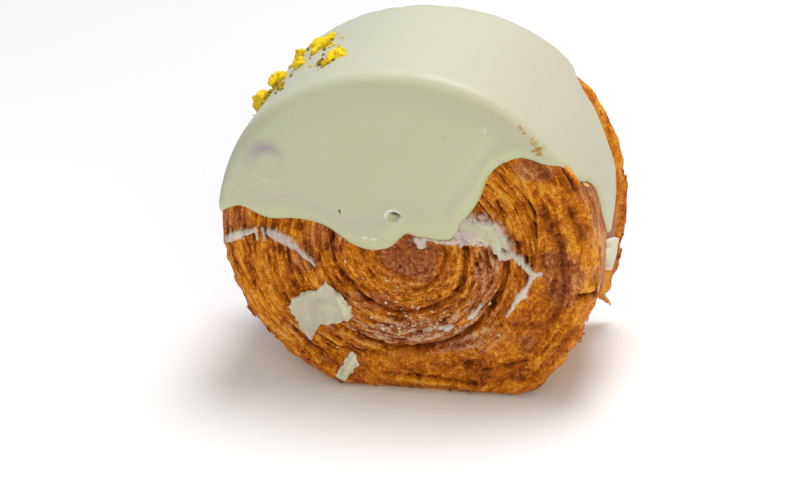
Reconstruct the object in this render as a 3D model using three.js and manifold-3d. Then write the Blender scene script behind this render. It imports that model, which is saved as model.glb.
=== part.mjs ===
import * as THREE from "three";
import { mergeVertices } from "three/addons/utils/BufferGeometryUtils.js";
import Module from "manifold-3d";

// A croissant roll: laminated dough rolled up, baked in a ring and dipped in icing. It stands on its rim.
// Millimetres. X runs across the round faces, Y from the front face to the back face, Z up.
// The origin is on the flat spot that the roll stands on, under the middle of its faces.

// The baked roll
const RADIUS = 50; // inside of the baking ring
const WIDTH = 45; // front face to back face
const CENTRE_HEIGHT = 43.5; // middle of the faces above the flat spot
const EDGE_ROUND = 3; // rounding between a face and the rim
const BACK_SHIFT = { x: 2.6, z: 0.9 }; // how far the back face sits off the front one
const BACK_GROWTH = 0.011; // how much wider the back face is, as a share
const BULGES = [
  { lobes: 2, cosine: 0.005, sine: -0.03 },
  { lobes: 3, cosine: -0.0155, sine: -0.002 },
  { lobes: 4, cosine: -0.0085, sine: 0.002 },
]; // uneven spread of the outline, as shares of the radius

// The rolled layers that show on the faces
const SPIRAL_MIDDLE = { x: 0.3, z: -1.2 }; // from the middle of the face
const SPIRAL_START = 10.2; // a groove's distance from that, towards +X
const SPIRAL_GROWTH = 1.6; // how many times further out it is a turn later
const SPIRAL_EYE = 12; // the groove fades out from this radius to the middle
const GROOVE_DEPTH = 1.5;
const GROOVE_WIDTH = 1.8;
const LAYERS = 3; // coarse flaky ridges in a turn
const LAYER_DEPTH = 0.5;
const LAYERS_FROM = 14; // they fade in from this radius
const LAYERS_FULL = 24; // to this one
const FOLD_STEP = 0.8; // the smooth outer skin stands this far above the flaky turns
const FOLD_RADIUS = 31.5; // where that skin starts, below the middle
const FOLD_RISE = 7; // how much further out it starts at the upper right
const FOLD_END = 20; // and at the left, past the roll's edge
const FOLD_WIDTH = 3.4; // over which it steps up

// Rough swells of crust on the right of the rim: height, spread and distance behind the front face,
// from which degrees round the roll to which they stand, and over how many they fade in and out
const FRONT_SWELL = { height: 1.5, spread: 5, behind: 8, from: -24, to: 20, fade: 8 };
const BACK_LIP = { height: 2, spread: 1.5, behind: 43.5, from: -48, to: 44, fade: 12 };
const LOW_LIP = { height: 1.5, spread: 1.5, behind: 43.5, from: -46, to: -17, fade: 10 };

// The icing and the pieces broken off it
const ICING_THICKNESS = 1.6;
const CHIP_THICKNESS = 0.8;
const ICING_ROUND = 2.2; // width of the rounded edge
const EDGE_STOPS = [0, 0.12, 0.45, 1]; // where that edge has points, as shares of its width
const COAT_SINK = 3; // how deep a coat's block goes into the crust before it is cut to the skin
const COAT_PEAK = 11; // how far the icing's block stands up before it is cut to its thickness
const GAP = 0.35; // between the crust and what lies on it
const BACK_COVER = 29; // how far the icing reaches past the back edge
const BACK_WAVE = 2.2; // unevenness of its edge there
const BACK_WAVES = 6; // waves in a whole turn
const ICING_CELLS = { across: 66, over: 28 };
const CHIP_CELLS = { across: 10, over: 2 };

// Chopped nuts pressed into the icing: degrees round the roll, distance behind the front face, length
const NUTS = [
  { angle: 142, behind: 17.5, length: 5.2 },
  { angle: 138.5, behind: 26, length: 5.4 },
  { angle: 131.5, behind: 13, length: 2.8 },
  { angle: 129, behind: 24, length: 3.8 },
  { angle: 124.5, behind: 30, length: 5.2 },
  { angle: 122.5, behind: 34.5, length: 4.2 },
  { angle: 113, behind: 15, length: 6 },
  { angle: 134, behind: 37, length: 3.6 },
  { angle: 150, behind: 33, length: 4.2 },
];
const NUT_BREADTH = { least: 0.65, spread: 0.2 }; // shares of a nut's length
const NUT_HEIGHT = { least: 0.6, spread: 0.2 };
const NUT_RAISE = 0.18; // how far a nut's middle is above the icing, as a share of its length

// Mesh fineness
const SEGMENTS = 72;
const FRONT_RINGS = 31;
const BEND_RINGS = 4;
const RIM_RINGS = 10;
const BACK_RINGS = 16;

// Lengths along the skin, from the middle of the front face over the rim to the middle of the back
const FACE_REACH = RADIUS - EDGE_ROUND;
const BEND = (EDGE_ROUND * Math.PI) / 2;
const RIM_START = FACE_REACH + BEND;
const RIM_END = RIM_START + WIDTH - 2 * EDGE_ROUND;
const BACK_START = RIM_END + BEND;
const SKIN_LENGTH = BACK_START + FACE_REACH;

const { degToRad, lerp, smoothstep, seededRandom } = THREE.MathUtils;
const wasm = await Module();
wasm.setup();

// Outline of the roll at an angle; `back` is 0 at the front face and 1 at the back face.
function rimRadius(angle, back) {
  let share = 1 + BACK_GROWTH * back;
  for (const { lobes, cosine, sine } of BULGES) {
    share += cosine * Math.cos(lobes * angle) + sine * Math.sin(lobes * angle);
  }
  const drop = -Math.sin(angle);
  const toFloor = drop > 0 ? (CENTRE_HEIGHT + BACK_SHIFT.z * back) / drop : Infinity;
  return Math.min(RADIUS * share, toFloor);
}

// Distance behind the front face, and how far inside the rim, at a length along the skin.
function skinProfile(along) {
  const half = along > SKIN_LENGTH / 2 ? SKIN_LENGTH - along : along;
  const turn = Math.min(Math.max((half - FACE_REACH) / EDGE_ROUND, 0), Math.PI / 2);
  const inset = EDGE_ROUND * (1 - Math.sin(turn));
  const behind = EDGE_ROUND * (1 - Math.cos(turn)) + Math.max(half - RIM_START, 0);
  return {
    behind: along > SKIN_LENGTH / 2 ? WIDTH - behind : behind,
    inset,
    share: Math.min(half / FACE_REACH, 1),
  };
}

// A point on the smooth skin; the angle is anticlockwise from +X, seen from the front.
function skin(angle, along) {
  const { behind, inset, share } = skinProfile(along);
  const back = behind / WIDTH;
  const radius = (rimRadius(angle, back) - inset) * share;
  return new THREE.Vector3(
    radius * Math.cos(angle) + BACK_SHIFT.x * back,
    behind - WIDTH / 2,
    radius * Math.sin(angle) + BACK_SHIFT.z * back + CENTRE_HEIGHT,
  );
}

// Direction straight out of the smooth skin.
function outward(angle, along) {
  const step = 0.02;
  const place = Math.min(Math.max(along, 2 * step), SKIN_LENGTH - 2 * step);
  const over = skin(angle, place + step).sub(skin(angle, place - step));
  const round = skin(angle + step, place).sub(skin(angle - step, place));
  return over.cross(round).normalize();
}

// A point held off the skin by a height.
function raised(angle, along, height) {
  return skin(angle, along).addScaledVector(outward(angle, along), height);
}

// 0 on the flaky turns and 1 on the smooth outer skin of the roll.
function smoothShare(angle, radius) {
  const turn = angle > Math.PI ? angle - 2 * Math.PI : angle;
  const rise = FOLD_RISE * smoothstep(turn, degToRad(-45), degToRad(45));
  const end = FOLD_END * smoothstep(-turn, degToRad(95), degToRad(150));
  const fold = FOLD_RADIUS + rise + end;
  return smoothstep(radius, fold - FOLD_WIDTH / 2, fold + FOLD_WIDTH / 2);
}

// Depth of the groove, ridges and fold on a face.
function faceRelief(angle, radius) {
  const x = radius * Math.cos(angle) - SPIRAL_MIDDLE.x;
  const z = radius * Math.sin(angle) - SPIRAL_MIDDLE.z;
  const far = Math.hypot(x, z);
  const turns = Math.log(far / SPIRAL_START) / Math.log(SPIRAL_GROWTH) + Math.atan2(z, x) / (2 * Math.PI);
  const share = turns - Math.floor(turns);
  const inner = far / SPIRAL_GROWTH ** share;
  const distance = Math.min(far - inner, inner * SPIRAL_GROWTH - far);
  const groove = GROOVE_DEPTH * Math.exp(-((distance / GROOVE_WIDTH) ** 2));
  const wave = (1 - Math.cos(2 * Math.PI * LAYERS * share)) / 2;
  const ridges = LAYER_DEPTH * wave * smoothstep(far, LAYERS_FROM, LAYERS_FULL);
  const flaky = 1 - smoothShare(angle, radius);
  return smoothstep(far, 0, SPIRAL_EYE) * (groove + flaky * (ridges + FOLD_STEP));
}

// Height of a swell at an angle and a distance behind the front face.
function swellHeight(swell, angle, behind) {
  const turn = THREE.MathUtils.radToDeg(angle > Math.PI ? angle - 2 * Math.PI : angle);
  const from = smoothstep(turn, swell.from, swell.from + swell.fade);
  const to = 1 - smoothstep(turn, swell.to - swell.fade, swell.to);
  const ragged = 0.85 + 0.15 * Math.sin(19 * angle) * Math.cos(7 * angle);
  return swell.height * from * to * ragged * Math.exp(-(((behind - swell.behind) / swell.spread) ** 2));
}

// A point on the baked crust.
function crust(angle, along) {
  const { behind, inset, share } = skinProfile(along);
  const onFace = inset / EDGE_ROUND;
  const radius = (rimRadius(angle, behind / WIDTH) - inset) * share;
  const depth = radius > 0 ? onFace * faceRelief(angle, radius) : 0;
  const swells = [FRONT_SWELL, BACK_LIP, LOW_LIP].map((swell) => swellHeight(swell, angle, behind));
  const swollen = swells.reduce((sum, height) => sum + height, 0);
  return raised(angle, along, swollen * (1 - onFace) - depth);
}

// Places along the skin where a surface has its rings, from numbers of rings on faces, bends and rim.
function ringPlaces(front, bend, rim, back) {
  const stretches = [
    [0, FACE_REACH, front],
    [FACE_REACH, RIM_START, bend],
    [RIM_START, RIM_END, rim],
    [RIM_END, BACK_START, bend],
    [BACK_START, SKIN_LENGTH, back],
  ];
  const places = stretches.flatMap(([from, to, count]) =>
    Array.from({ length: count }, (_, i) => lerp(from, to, (i + 1) / count)),
  );
  return places.slice(0, -1);
}

function solidFrom(points, triangles) {
  const geometry = new THREE.BufferGeometry().setFromPoints(points);
  geometry.setIndex(triangles.flat());
  geometry.computeVertexNormals();
  return geometry;
}

// One closed surface in rings, from the middle of the front face to the middle of the back.
function ringedGeometry(rings, pointAt) {
  const points = [pointAt(0, 0), pointAt(0, SKIN_LENGTH)];
  for (const along of rings) {
    for (let i = 0; i < SEGMENTS; i++) {
      points.push(pointAt((2 * Math.PI * i) / SEGMENTS, along));
    }
  }
  const at = (ring, i) => 2 + ring * SEGMENTS + (i % SEGMENTS);
  const triangles = [];
  for (let i = 0; i < SEGMENTS; i++) {
    triangles.push([0, at(0, i), at(0, i + 1)]);
    triangles.push([1, at(rings.length - 1, i + 1), at(rings.length - 1, i)]);
    for (let ring = 0; ring < rings.length - 1; ring++) {
      triangles.push([at(ring, i), at(ring + 1, i), at(ring + 1, i + 1)]);
      triangles.push([at(ring, i), at(ring + 1, i + 1), at(ring, i + 1)]);
    }
  }
  return solidFrom(points, triangles);
}

function rollGeometry() {
  return ringedGeometry(ringPlaces(FRONT_RINGS, BEND_RINGS, RIM_RINGS, BACK_RINGS), crust);
}

// The smooth skin held off by a height, to cut coats with.
function skinGeometry(height) {
  const rings = ringPlaces(1, BEND_RINGS, 2, 1);
  return ringedGeometry(rings, (angle, along) => raised(angle, along, height));
}

// The skin laid out flat: the front face in the middle, the rim round it, the back outside that.
function flat(angle, along) {
  return new THREE.Vector2(along * Math.cos(angle), along * Math.sin(angle));
}

// A place on the front face, from its middle, laid out flat.
function onFront(x, z) {
  const angle = Math.atan2(z, x);
  return flat(angle, (FACE_REACH * Math.hypot(x, z)) / (rimRadius(angle, 0) - EDGE_ROUND));
}

// A place on the rim, in degrees and distance behind the front face, laid out flat.
function onRim(degrees, behind) {
  return flat(degToRad(degrees), RIM_START + behind - EDGE_ROUND);
}

// Angle and length along the skin of a place laid out flat.
function unflat(place) {
  const angle = Math.atan2(place.y, place.x);
  return { angle: angle < 0 ? angle + 2 * Math.PI : angle, along: place.length() };
}

// A block of coat on the skin between two edges that meet at both ends. It starts at the edges, sinks
// into the crust between them and rises as `heightAt` says, by the distance from the nearest edge.
function coatGeometry(lower, upper, { across, over }, heightAt) {
  const points = [];
  const raise = (spot, height) => {
    const { angle, along } = unflat(spot);
    return points.push(raised(angle, along, GAP + height)) - 1;
  };
  const ends = [raise(lower(0), 0), raise(lower(1), 0)];
  const rows = [];
  for (let i = 1; i < across; i++) {
    const from = lower(i / across);
    const to = upper(i / across);
    const length = from.distanceTo(to);
    const row = coatStops(length, over).map((t) => {
      const spot = from.clone().lerp(to, t);
      const edge = t === 0 || t === 1;
      const top = raise(spot, edge ? 0 : heightAt(length * Math.min(t, 1 - t)));
      return { top, under: edge ? top : raise(spot, -COAT_SINK) };
    });
    rows.push(row);
  }
  return solidFrom(points, coatTriangles(rows, ends));
}

// Stops over a coat, as shares of its length: a few on each rounded edge and an even spread between.
function coatStops(length, over) {
  const edge = Math.min(ICING_ROUND / length, 0.25);
  const rounded = EDGE_STOPS.map((stop) => stop * edge);
  const middle = Array.from({ length: over - 1 }, (_, i) => lerp(edge, 1 - edge, (i + 1) / over));
  return [...rounded, ...middle, ...rounded.map((stop) => 1 - stop).reverse()];
}

// Top and underside of a coat share the points on its edges.
function coatTriangles(rows, ends) {
  const triangles = [];
  for (const side of ["top", "under"]) {
    const add = (a, b, c) => triangles.push(side === "top" ? [a, b, c] : [a, c, b]);
    const first = rows[0];
    const last = rows[rows.length - 1];
    for (let j = 0; j < first.length - 1; j++) {
      add(ends[0], first[j][side], first[j + 1][side]);
      add(ends[1], last[j + 1][side], last[j][side]);
      for (let i = 0; i < rows.length - 1; i++) {
        add(rows[i][j][side], rows[i + 1][j][side], rows[i + 1][j + 1][side]);
        add(rows[i][j][side], rows[i + 1][j + 1][side], rows[i][j + 1][side]);
      }
    }
  }
  return triangles;
}

// The icing's near edge: up the left of the rim, along the drips on the front, down the right of the rim.
function dripEdge() {
  return new THREE.SplineCurve([
    onRim(188, 41),
    onRim(183, 26),
    onRim(177, 13),
    onRim(173.5, 4.5),
    onFront(-45.5, 10.3),
    onFront(-37, 7.1),
    onFront(-29, 7.2),
    onFront(-21.5, 5.6),
    onFront(-14, 0.4),
    onFront(-8.5, -1),
    onFront(-3.5, 0.4),
    onFront(0.5, 4.3),
    onFront(5, 3.4),
    onFront(12.5, 3.2),
    onFront(16, 8.5),
    onFront(20.5, 15.5),
    onFront(24, 23.5),
    onFront(31, 28.3),
    onFront(38, 26.8),
    onRim(29.5, 3.6),
    onRim(25.5, 5),
    onRim(21, 9.8),
    onRim(18, 15),
    onRim(12.5, 19.2),
    onRim(5, 20.6),
    onRim(-1.6, 20.6),
    onRim(-5.2, 25),
    onRim(-2.6, 30.5),
    onRim(3, 35.2),
    onRim(10, 38.8),
    onRim(19, 38.6),
    onRim(27, 39.2),
    onRim(34, 40),
    onRim(39.5, 41.8),
    onRim(43, 44.5),
  ]);
}

// The icing's far edge: a wavy line across the back face, from the left of the rim to the right.
function farEdge(from, to) {
  const start = unflat(from);
  const end = unflat(to);
  return (s) => {
    const swell = Math.sin(Math.PI * s);
    const angle = lerp(end.angle, start.angle, (1 - s) ** 2);
    const wave = BACK_WAVE * swell * Math.sin(BACK_WAVES * angle);
    return flat(angle, lerp(start.along, end.along, s) + BACK_COVER * swell ** 0.8 + wave);
  };
}

// Height of a rounded edge, from nothing at the edge to its full thickness.
function roundedHeight(reach, round, thickness) {
  const rise = Math.min(reach / round, 1);
  return thickness * Math.sqrt(1 - (1 - rise) ** 2);
}

function icingGeometry() {
  const drips = dripEdge();
  const near = (s) => drips.getPointAt(s);
  const far = farEdge(near(0), near(1));
  const heightAt = (reach) =>
    reach < ICING_ROUND ? roundedHeight(reach, ICING_ROUND, ICING_THICKNESS) : COAT_PEAK;
  const block = solidOf(coatGeometry(near, far, ICING_CELLS, heightAt));
  const outside = solidOf(skinGeometry(GAP + ICING_THICKNESS));
  const icing = largest(block.intersect(outside).subtract(bareSkin));
  return geometryOf(NUTS.reduce((whole, nut, i) => whole.add(solidOf(nutGeometry(nut, i))), icing));
}

// A chopped nut: a few-sided lump, turned at random, half sunk in the top of the icing.
function nutGeometry({ angle, behind, length }, index) {
  const draw = ({ least, spread }) => least + spread * seededRandom();
  const turn = { least: 0, spread: Math.PI };
  seededRandom(index + 1);
  const nut = new THREE.IcosahedronGeometry(length / 2, 0);
  nut.scale(1, draw(NUT_BREADTH), draw(NUT_HEIGHT));
  nut.rotateX(draw(turn));
  nut.rotateY(draw(turn));
  nut.rotateZ(draw(turn));
  const { angle: round, along } = unflat(onRim(angle, behind));
  const place = raised(round, along, GAP + ICING_THICKNESS + NUT_RAISE * length);
  return nut.translate(place.x, place.y, place.z);
}

// A closed geometry as a solid that can be joined and cut.
function solidOf(geometry) {
  const bare = geometry.clone();
  bare.deleteAttribute("normal");
  bare.deleteAttribute("uv");
  const merged = mergeVertices(bare, 1e-4);
  const vertProperties = new Float32Array(merged.attributes.position.array);
  const triVerts = new Uint32Array(merged.index.array);
  return new wasm.Manifold(new wasm.Mesh({ numProp: 3, vertProperties, triVerts }));
}

function geometryOf(solid) {
  const mesh = solid.getMesh();
  const geometry = new THREE.BufferGeometry();
  geometry.setAttribute("position", new THREE.BufferAttribute(mesh.vertProperties, 3));
  geometry.setIndex(new THREE.BufferAttribute(mesh.triVerts, 1));
  geometry.computeVertexNormals();
  return geometry;
}

// The main body of a solid, without the scraps that a cut leaves.
function largest(solid) {
  return solid.decompose().reduce((a, b) => (a.volume() > b.volume() ? a : b));
}

// A straight-sided edge through a few places, as a function of its share.
function brokenEdge(...places) {
  const path = new THREE.CurvePath();
  for (let i = 1; i < places.length; i++) {
    path.add(new THREE.LineCurve(places[i - 1], places[i]));
  }
  return (s) => path.getPointAt(s).clone();
}

// A piece of icing that broke off, between its lower and upper broken edges.
function chipGeometry(lower, upper) {
  const heightAt = (reach) => roundedHeight(reach, CHIP_THICKNESS, CHIP_THICKNESS);
  const block = solidOf(coatGeometry(lower, upper, CHIP_CELLS, heightAt));
  return geometryOf(largest(block.subtract(bareSkin)));
}

function largeChipGeometry() {
  const left = onFront(-33.9, -19.7);
  const right = onFront(-15.2, -21.5);
  const tooth = onFront(-27.7, -29.8);
  const lower = brokenEdge(left, onFront(-30.5, -26), tooth, onFront(-24.5, -24.6), right);
  const upper = brokenEdge(left, onFront(-30, -15.4), onFront(-22.3, -11.6), onFront(-16.9, -17), right);
  return chipGeometry(lower, upper);
}

function smallChipGeometry() {
  const top = onFront(-15.6, -32.3);
  const foot = onFront(-19, -41);
  const leftSide = brokenEdge(top, onFront(-18.9, -36), onFront(-20.6, -40), foot);
  const rightSide = brokenEdge(top, onFront(-13.7, -35.3), onFront(-16.2, -38.8), foot);
  return chipGeometry(leftSide, rightSide);
}

function rimChipGeometry() {
  const top = onRim(-3.7, 17.6);
  const foot = onRim(-15.8, 21);
  const nearSide = brokenEdge(top, onRim(-8.5, 16.2), onRim(-12.8, 17.2), foot);
  const farSide = brokenEdge(top, onRim(-6.2, 22.5), onRim(-9, 28.5), onRim(-11.5, 31.5), onRim(-14.2, 28), foot);
  return chipGeometry(nearSide, farSide);
}

function addPiece(group, name, geometry, color, roughness) {
  const material = new THREE.MeshStandardMaterial({ color, roughness, metalness: 0 });
  const mesh = new THREE.Mesh(geometry, material);
  mesh.name = name;
  group.add(mesh);
}

const bareSkin = solidOf(skinGeometry(GAP));
const croissantRoll = new THREE.Group();
addPiece(croissantRoll, "croissant", rollGeometry(), 0xa5602a, 0.55);
addPiece(croissantRoll, "icing", icingGeometry(), 0xcdd0ad, 0.4);
addPiece(croissantRoll, "icing_chip_large", largeChipGeometry(), 0xbcb59a, 0.45);
addPiece(croissantRoll, "icing_chip_small", smallChipGeometry(), 0xb8b28c, 0.45);
addPiece(croissantRoll, "icing_chip_rim", rimChipGeometry(), 0xbfc09a, 0.45);

export default croissantRoll;
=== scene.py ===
import math

import bmesh
import bpy
import numpy as np
from mathutils import Matrix, Vector


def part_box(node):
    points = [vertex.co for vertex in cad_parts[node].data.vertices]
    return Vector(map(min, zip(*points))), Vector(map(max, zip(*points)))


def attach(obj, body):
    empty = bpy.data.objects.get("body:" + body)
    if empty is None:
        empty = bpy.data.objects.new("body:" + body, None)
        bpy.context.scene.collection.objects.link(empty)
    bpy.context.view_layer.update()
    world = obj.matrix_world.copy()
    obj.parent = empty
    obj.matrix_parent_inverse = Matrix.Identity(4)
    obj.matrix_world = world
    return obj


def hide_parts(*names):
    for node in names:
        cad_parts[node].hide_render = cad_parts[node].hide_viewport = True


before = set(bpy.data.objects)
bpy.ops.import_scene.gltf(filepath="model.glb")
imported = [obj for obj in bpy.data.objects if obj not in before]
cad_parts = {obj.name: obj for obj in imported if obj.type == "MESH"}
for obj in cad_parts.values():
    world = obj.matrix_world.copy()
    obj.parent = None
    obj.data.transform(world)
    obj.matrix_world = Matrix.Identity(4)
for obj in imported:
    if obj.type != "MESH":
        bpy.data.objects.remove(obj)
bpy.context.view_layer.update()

# Sizes are in millimetres in the roll's frame; MM turns them into Blender's metres.
MM = 0.001

# The baked roll, as its solid is made
roll_low, roll_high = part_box("croissant")
WIDTH = (roll_high.y - roll_low.y) / MM
RADIUS = 50.0
CENTRE_HEIGHT = 43.5
EDGE_ROUND = 3.0
BACK_SHIFT = (2.6, 0.9)
BACK_GROWTH = 0.011
BULGES = ((2, 0.005, -0.03), (3, -0.0155, -0.002), (4, -0.0085, 0.002))

# Lengths along the skin, from the middle of the front face over the rim to the middle of the back
FACE_REACH = RADIUS - EDGE_ROUND
BEND = EDGE_ROUND * math.pi / 2
RIM_START = FACE_REACH + BEND
RIM_END = RIM_START + WIDTH - 2 * EDGE_ROUND
BACK_START = RIM_END + BEND
SKIN_LENGTH = BACK_START + FACE_REACH

# The rolled layers
SPIRAL_MIDDLE = (0.3, -1.2)
SPIRAL_START = 10.2
SPIRAL_GROWTH = 1.6
SPIRAL_EYE = 20.0
RUN_RADIUS = 28.0
SEAM_FADE = 0.6
LAYER_WANDER = 0.8
THIN_SHEET = 1.25
FINE_SHEET = 0.6
LAYERS = (
    # thickness of a sheet of dough, its length round the roll, its depth and browning,
    # radii at which such sheets start and stand in full, and how much more of them there is near the rim
    (3.2, 18.0, 0.5, 0.2, 6.0, 14.0, -0.6),
    (THIN_SHEET, 8.0, 0.6, 0.45, 8.0, 14.0, 0.25),
    (FINE_SHEET, 3.6, 0.4, 0.4, 10.0, 20.0, 0.25),
)
GROOVE_DEPTH = 2.0
GROOVE_WIDTH = 0.55
# How far past a groove its painted highlight lies
GROOVE_LIP = 1.3
DOME_HEIGHT = 0.6
FOLD_STEP = 0.7
FOLD_RADIUS = 31.5
FOLD_RISE = 7.0
FOLD_END = 20.0
FOLD_SOFT = 0.7
EDGE_GOLD = 0.15
EDGE_GOLD_RADII = (42.0, 49.0)
LEFT_CALM = 0.65
LEFT_CALM_RADII = (42.0, 47.0)
FLAKY_RADII = (5.0, 13.0)
BACK_PLUM = 0.2
SHEET_APART = 7.3
FACE_SEED = 11
RIM_SEED = 31

# Swells of crust on the right of the rim: height, width and distance behind the front face,
# then the degrees between which they stand in full and those over which they fade
FRONT_SWELL = (1.5, 5.0, 8.0, (-16.0, 12.0, 8.0))
SIDE_SWELL = (1.3, 8.0, 15.0, (-16.0, -3.0, 8.0))
BACK_LIP = (2.0, 1.5, 43.5, (-36.0, 32.0, 12.0))
LOW_LIP = (2.8, 1.5, 43.5, (-36.0, -27.0, 7.0))

# Rough stretches of the edges: degrees from and to, and those over which they fade
KNOBBLY_BACK = (-36, 6, 8)
CRUMBLY_FRONT = (-172, -100, 10)
ROUGH_LEFT = (-175, -60, 12)
ROUGH_RIGHT = (-50, 24, 6)
SHARP_FRONT = (-70, 24, 8)

# Plum brown on the rim: distances behind the front face, degrees, and those over which it fades
PLUM_BEHIND = (7, 16, 3)
PLUM_DEGREES = (-14, 15, 5)
FAR_PLUM_BEHIND = (22, 30, 10)

# The torn edge of crust beside the icing: degrees, its distance behind the front face, and its stretch
TEAR_DEGREES = (17.0, 22.8, 25.0, 27.0, 29.2, 31.5)
TEAR_BEHIND = (3.8, 2.8, 2.7, 2.6, 2.6, 2.8)
TEAR_STRETCH = (23.4, 31.0, 1.2)
TEAR_HEIGHT = 0.5
TEAR_REACH = 6.0
TEAR_DEPTH = 1.6

# The lower tear: its degrees, its stretch along the skin and how far its flake reaches
LOW_TEAR = -12.4
LOW_TEAR_STRETCH = (48.5, 54.0, 2.0)
LOW_TEAR_REACH = 1.6

# The grid of the crust: the end of each stretch along the skin and its number of rings,
# then the degrees between which the crust shows and the steps there and under the icing
CRUST_RINGS = (
    (FACE_REACH, 150),
    (RIM_START, 14),
    (RIM_START + 6, 8),
    (RIM_END - 8, 18),
    (RIM_END, 14),
    (BACK_START, 12),
    (SKIN_LENGTH, 44),
)
SHOWN_DEGREES = (-190, 35)
SHOWN_STEPS = 346
HIDDEN_STEPS = 34
POLE_DEPTH = 0.7

# The icing
ICING_THICKNESS = 1.6
ICING_ROUND = 2.4
ICING_SINK = 0.9
ICING_BITE = 0.15
ICING_UNDERSIDE = 0.8
SINK_REACH = 7.0
WAVE_HEIGHT = 0.5
LEFT_THIN = 0.45
RIGHT_THIN = 0.4
RIGHT_REACH = 14.0
COLOR_REACH = 6.0
UNDER_BEND_WIDTH = 3.2
BEND_FILL = 0.6
BEAD_HEIGHT = 0.3
BEAD_REACH = 3.5
BEAD_WIDTH = 2.2
VALLEY_DEPTH = 0.35
VALLEY_REACH = 9.0
VALLEY_WIDTH = 3.5
BACK_COVER = 29.0
BACK_WAVE = 2.2
BACK_WAVES = 6
BACK_FAN = 0.8
TONGUE_SHARE = 0.8
KNOT_STEPS = 60
CHIP_THICKNESS = 0.8
CHIP_ROWS = 159

# The grid of the icing: the end of each stretch and its number of steps, along the coat and across it,
# then the columns beside an edge, by their distance from it
ICING_ROWS = ((0.18, 49), (TONGUE_SHARE, 469), (1.0, 99))
ICING_COLUMNS = ((22, 61), (150, 65))
ICING_EDGE = ICING_ROUND * np.array([0, 0.03, 0.1, 0.22, 0.4, 0.65, 1.0])
CHIP_COLUMNS = ((20, 59),)
CHIP_EDGE = CHIP_THICKNESS * np.array([0, 0.05, 0.2, 0.45, 0.9])

# The photograph's camera
PHOTO_WIDTH = 808
FOCAL_PIXELS = 2215.6
VIEW_AZIMUTH = math.radians(13.05)
VIEW_ELEVATION = math.radians(26.99)
VIEW_ROLL = math.radians(-2.88)
VIEW_DISTANCE = 613.2
VIEW_TARGET = (-5.3, 0.0, 32.2)
SENSOR_WIDTH = 36.0

# The lights, in metres and watts
LIGHT_TARGET = (0, 0, 0.045)
LIGHTS = (
    # name, place, size across, strength, colour
    ("key", (0.12, 0.15, 0.9), 0.4, 5.8, (0.97, 0.96, 1.0)),
    ("front_fill", (0.5, -0.85, 0.4), 0.5, 3.0, (1.0, 1.0, 0.6)),
)
ROOM_STRENGTH = 0.5
FLOOR_SIZE = 6


# Noise and soft steps

CELL_FACTORS = (374761393, 668265263, 1274126177)
SEED_FACTOR = 2246822519
LAST_FACTOR = 2654435761
WORD = 0xFFFFFFFF


def lattice(cells, seed):
    """A repeatable number from 0 to 1 for each whole-number cell."""
    mixed = np.uint32(seed * SEED_FACTOR & WORD)
    for i, factor in enumerate(CELL_FACTORS):
        mixed = cells[..., i].astype(np.int64).astype(np.uint32) * np.uint32(factor) + mixed
    mixed = (mixed ^ (mixed >> np.uint32(13))) * np.uint32(CELL_FACTORS[-1])
    mixed = (mixed ^ (mixed >> np.uint32(15))) * np.uint32(LAST_FACTOR)
    mixed = mixed ^ (mixed >> np.uint32(16))
    return mixed.astype(np.float64) / WORD


def noise(points, seed):
    """Smooth noise from 0 to 1 at points given in cells."""
    points = np.asarray(points, float)
    cell = np.floor(points)
    share = points - cell
    share = share * share * (3 - 2 * share)
    total = np.zeros(points.shape[:-1])
    for corner in np.ndindex(2, 2, 2):
        corner = np.array(corner)
        weight = np.prod(np.where(corner == 1, share, 1 - share), axis=-1)
        total += weight * lattice(cell + corner, seed)
    return total


def noise_on(seed, *axes):
    """Noise over one to three coordinates, each already divided by its cell size."""
    filled = list(axes) + [np.zeros_like(axes[0])] * (3 - len(axes))
    return noise(np.stack(np.broadcast_arrays(*filled), -1), seed)


def rough_noise(seed, octaves, *axes):
    """Several layers of noise, each half the size of the one before, from 0 to 1."""
    total, weight = 0.0, 0.0
    for octave in range(octaves):
        share = 0.5 ** octave
        total = total + share * noise_on(seed + octave, *[axis * 2 ** octave for axis in axes])
        weight += share
    return total / weight


def swing(seed, octaves, *axes):
    """Rough noise from -0.5 to 0.5."""
    return rough_noise(seed, octaves, *axes) - 0.5


def smooth_step(value, low, high):
    share = np.clip((value - low) / (high - low), 0, 1)
    return share * share * (3 - 2 * share)


def crisp_noise(seed, octaves, *axes, low=0.3):
    """Rough noise drawn out, so that it reaches 0 and 1."""
    return smooth_step(rough_noise(seed, octaves, *axes), low, 1 - low)


def hump(distance, width, power=2):
    """1 at no distance, falling to 0 past a width."""
    return np.exp(-((distance / width) ** power))


def window(value, start, end, fade):
    """1 between start and end, fading to 0 outside them."""
    return smooth_step(value, start - fade, start) * (1 - smooth_step(value, end, end + fade))


# The smooth skin of the roll

def rim_radius(angle, back):
    """Outline at an angle; back is 0 at the front face and 1 at the back face."""
    share = 1 + BACK_GROWTH * back
    for lobes, cosine, sine in BULGES:
        share = share + cosine * np.cos(lobes * angle) + sine * np.sin(lobes * angle)
    drop = np.maximum(-np.sin(angle), 1e-6)
    return np.minimum(RADIUS * share, (CENTRE_HEIGHT + BACK_SHIFT[1] * back) / drop)


def skin_profile(along):
    """Distance behind the front face, distance inside the rim, and share of a face's radius."""
    second = along > SKIN_LENGTH / 2
    half = np.where(second, SKIN_LENGTH - along, along)
    turn = np.clip((half - FACE_REACH) / EDGE_ROUND, 0, math.pi / 2)
    inset = EDGE_ROUND * (1 - np.sin(turn))
    behind = EDGE_ROUND * (1 - np.cos(turn)) + np.maximum(half - RIM_START, 0)
    behind = np.where(second, WIDTH - behind, behind)
    return behind, inset, np.minimum(half / FACE_REACH, 1)


def skin_radius(angle, along):
    """Distance from the roll's axis."""
    behind, inset, share = skin_profile(along)
    return (rim_radius(angle, behind / WIDTH) - inset) * share


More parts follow.
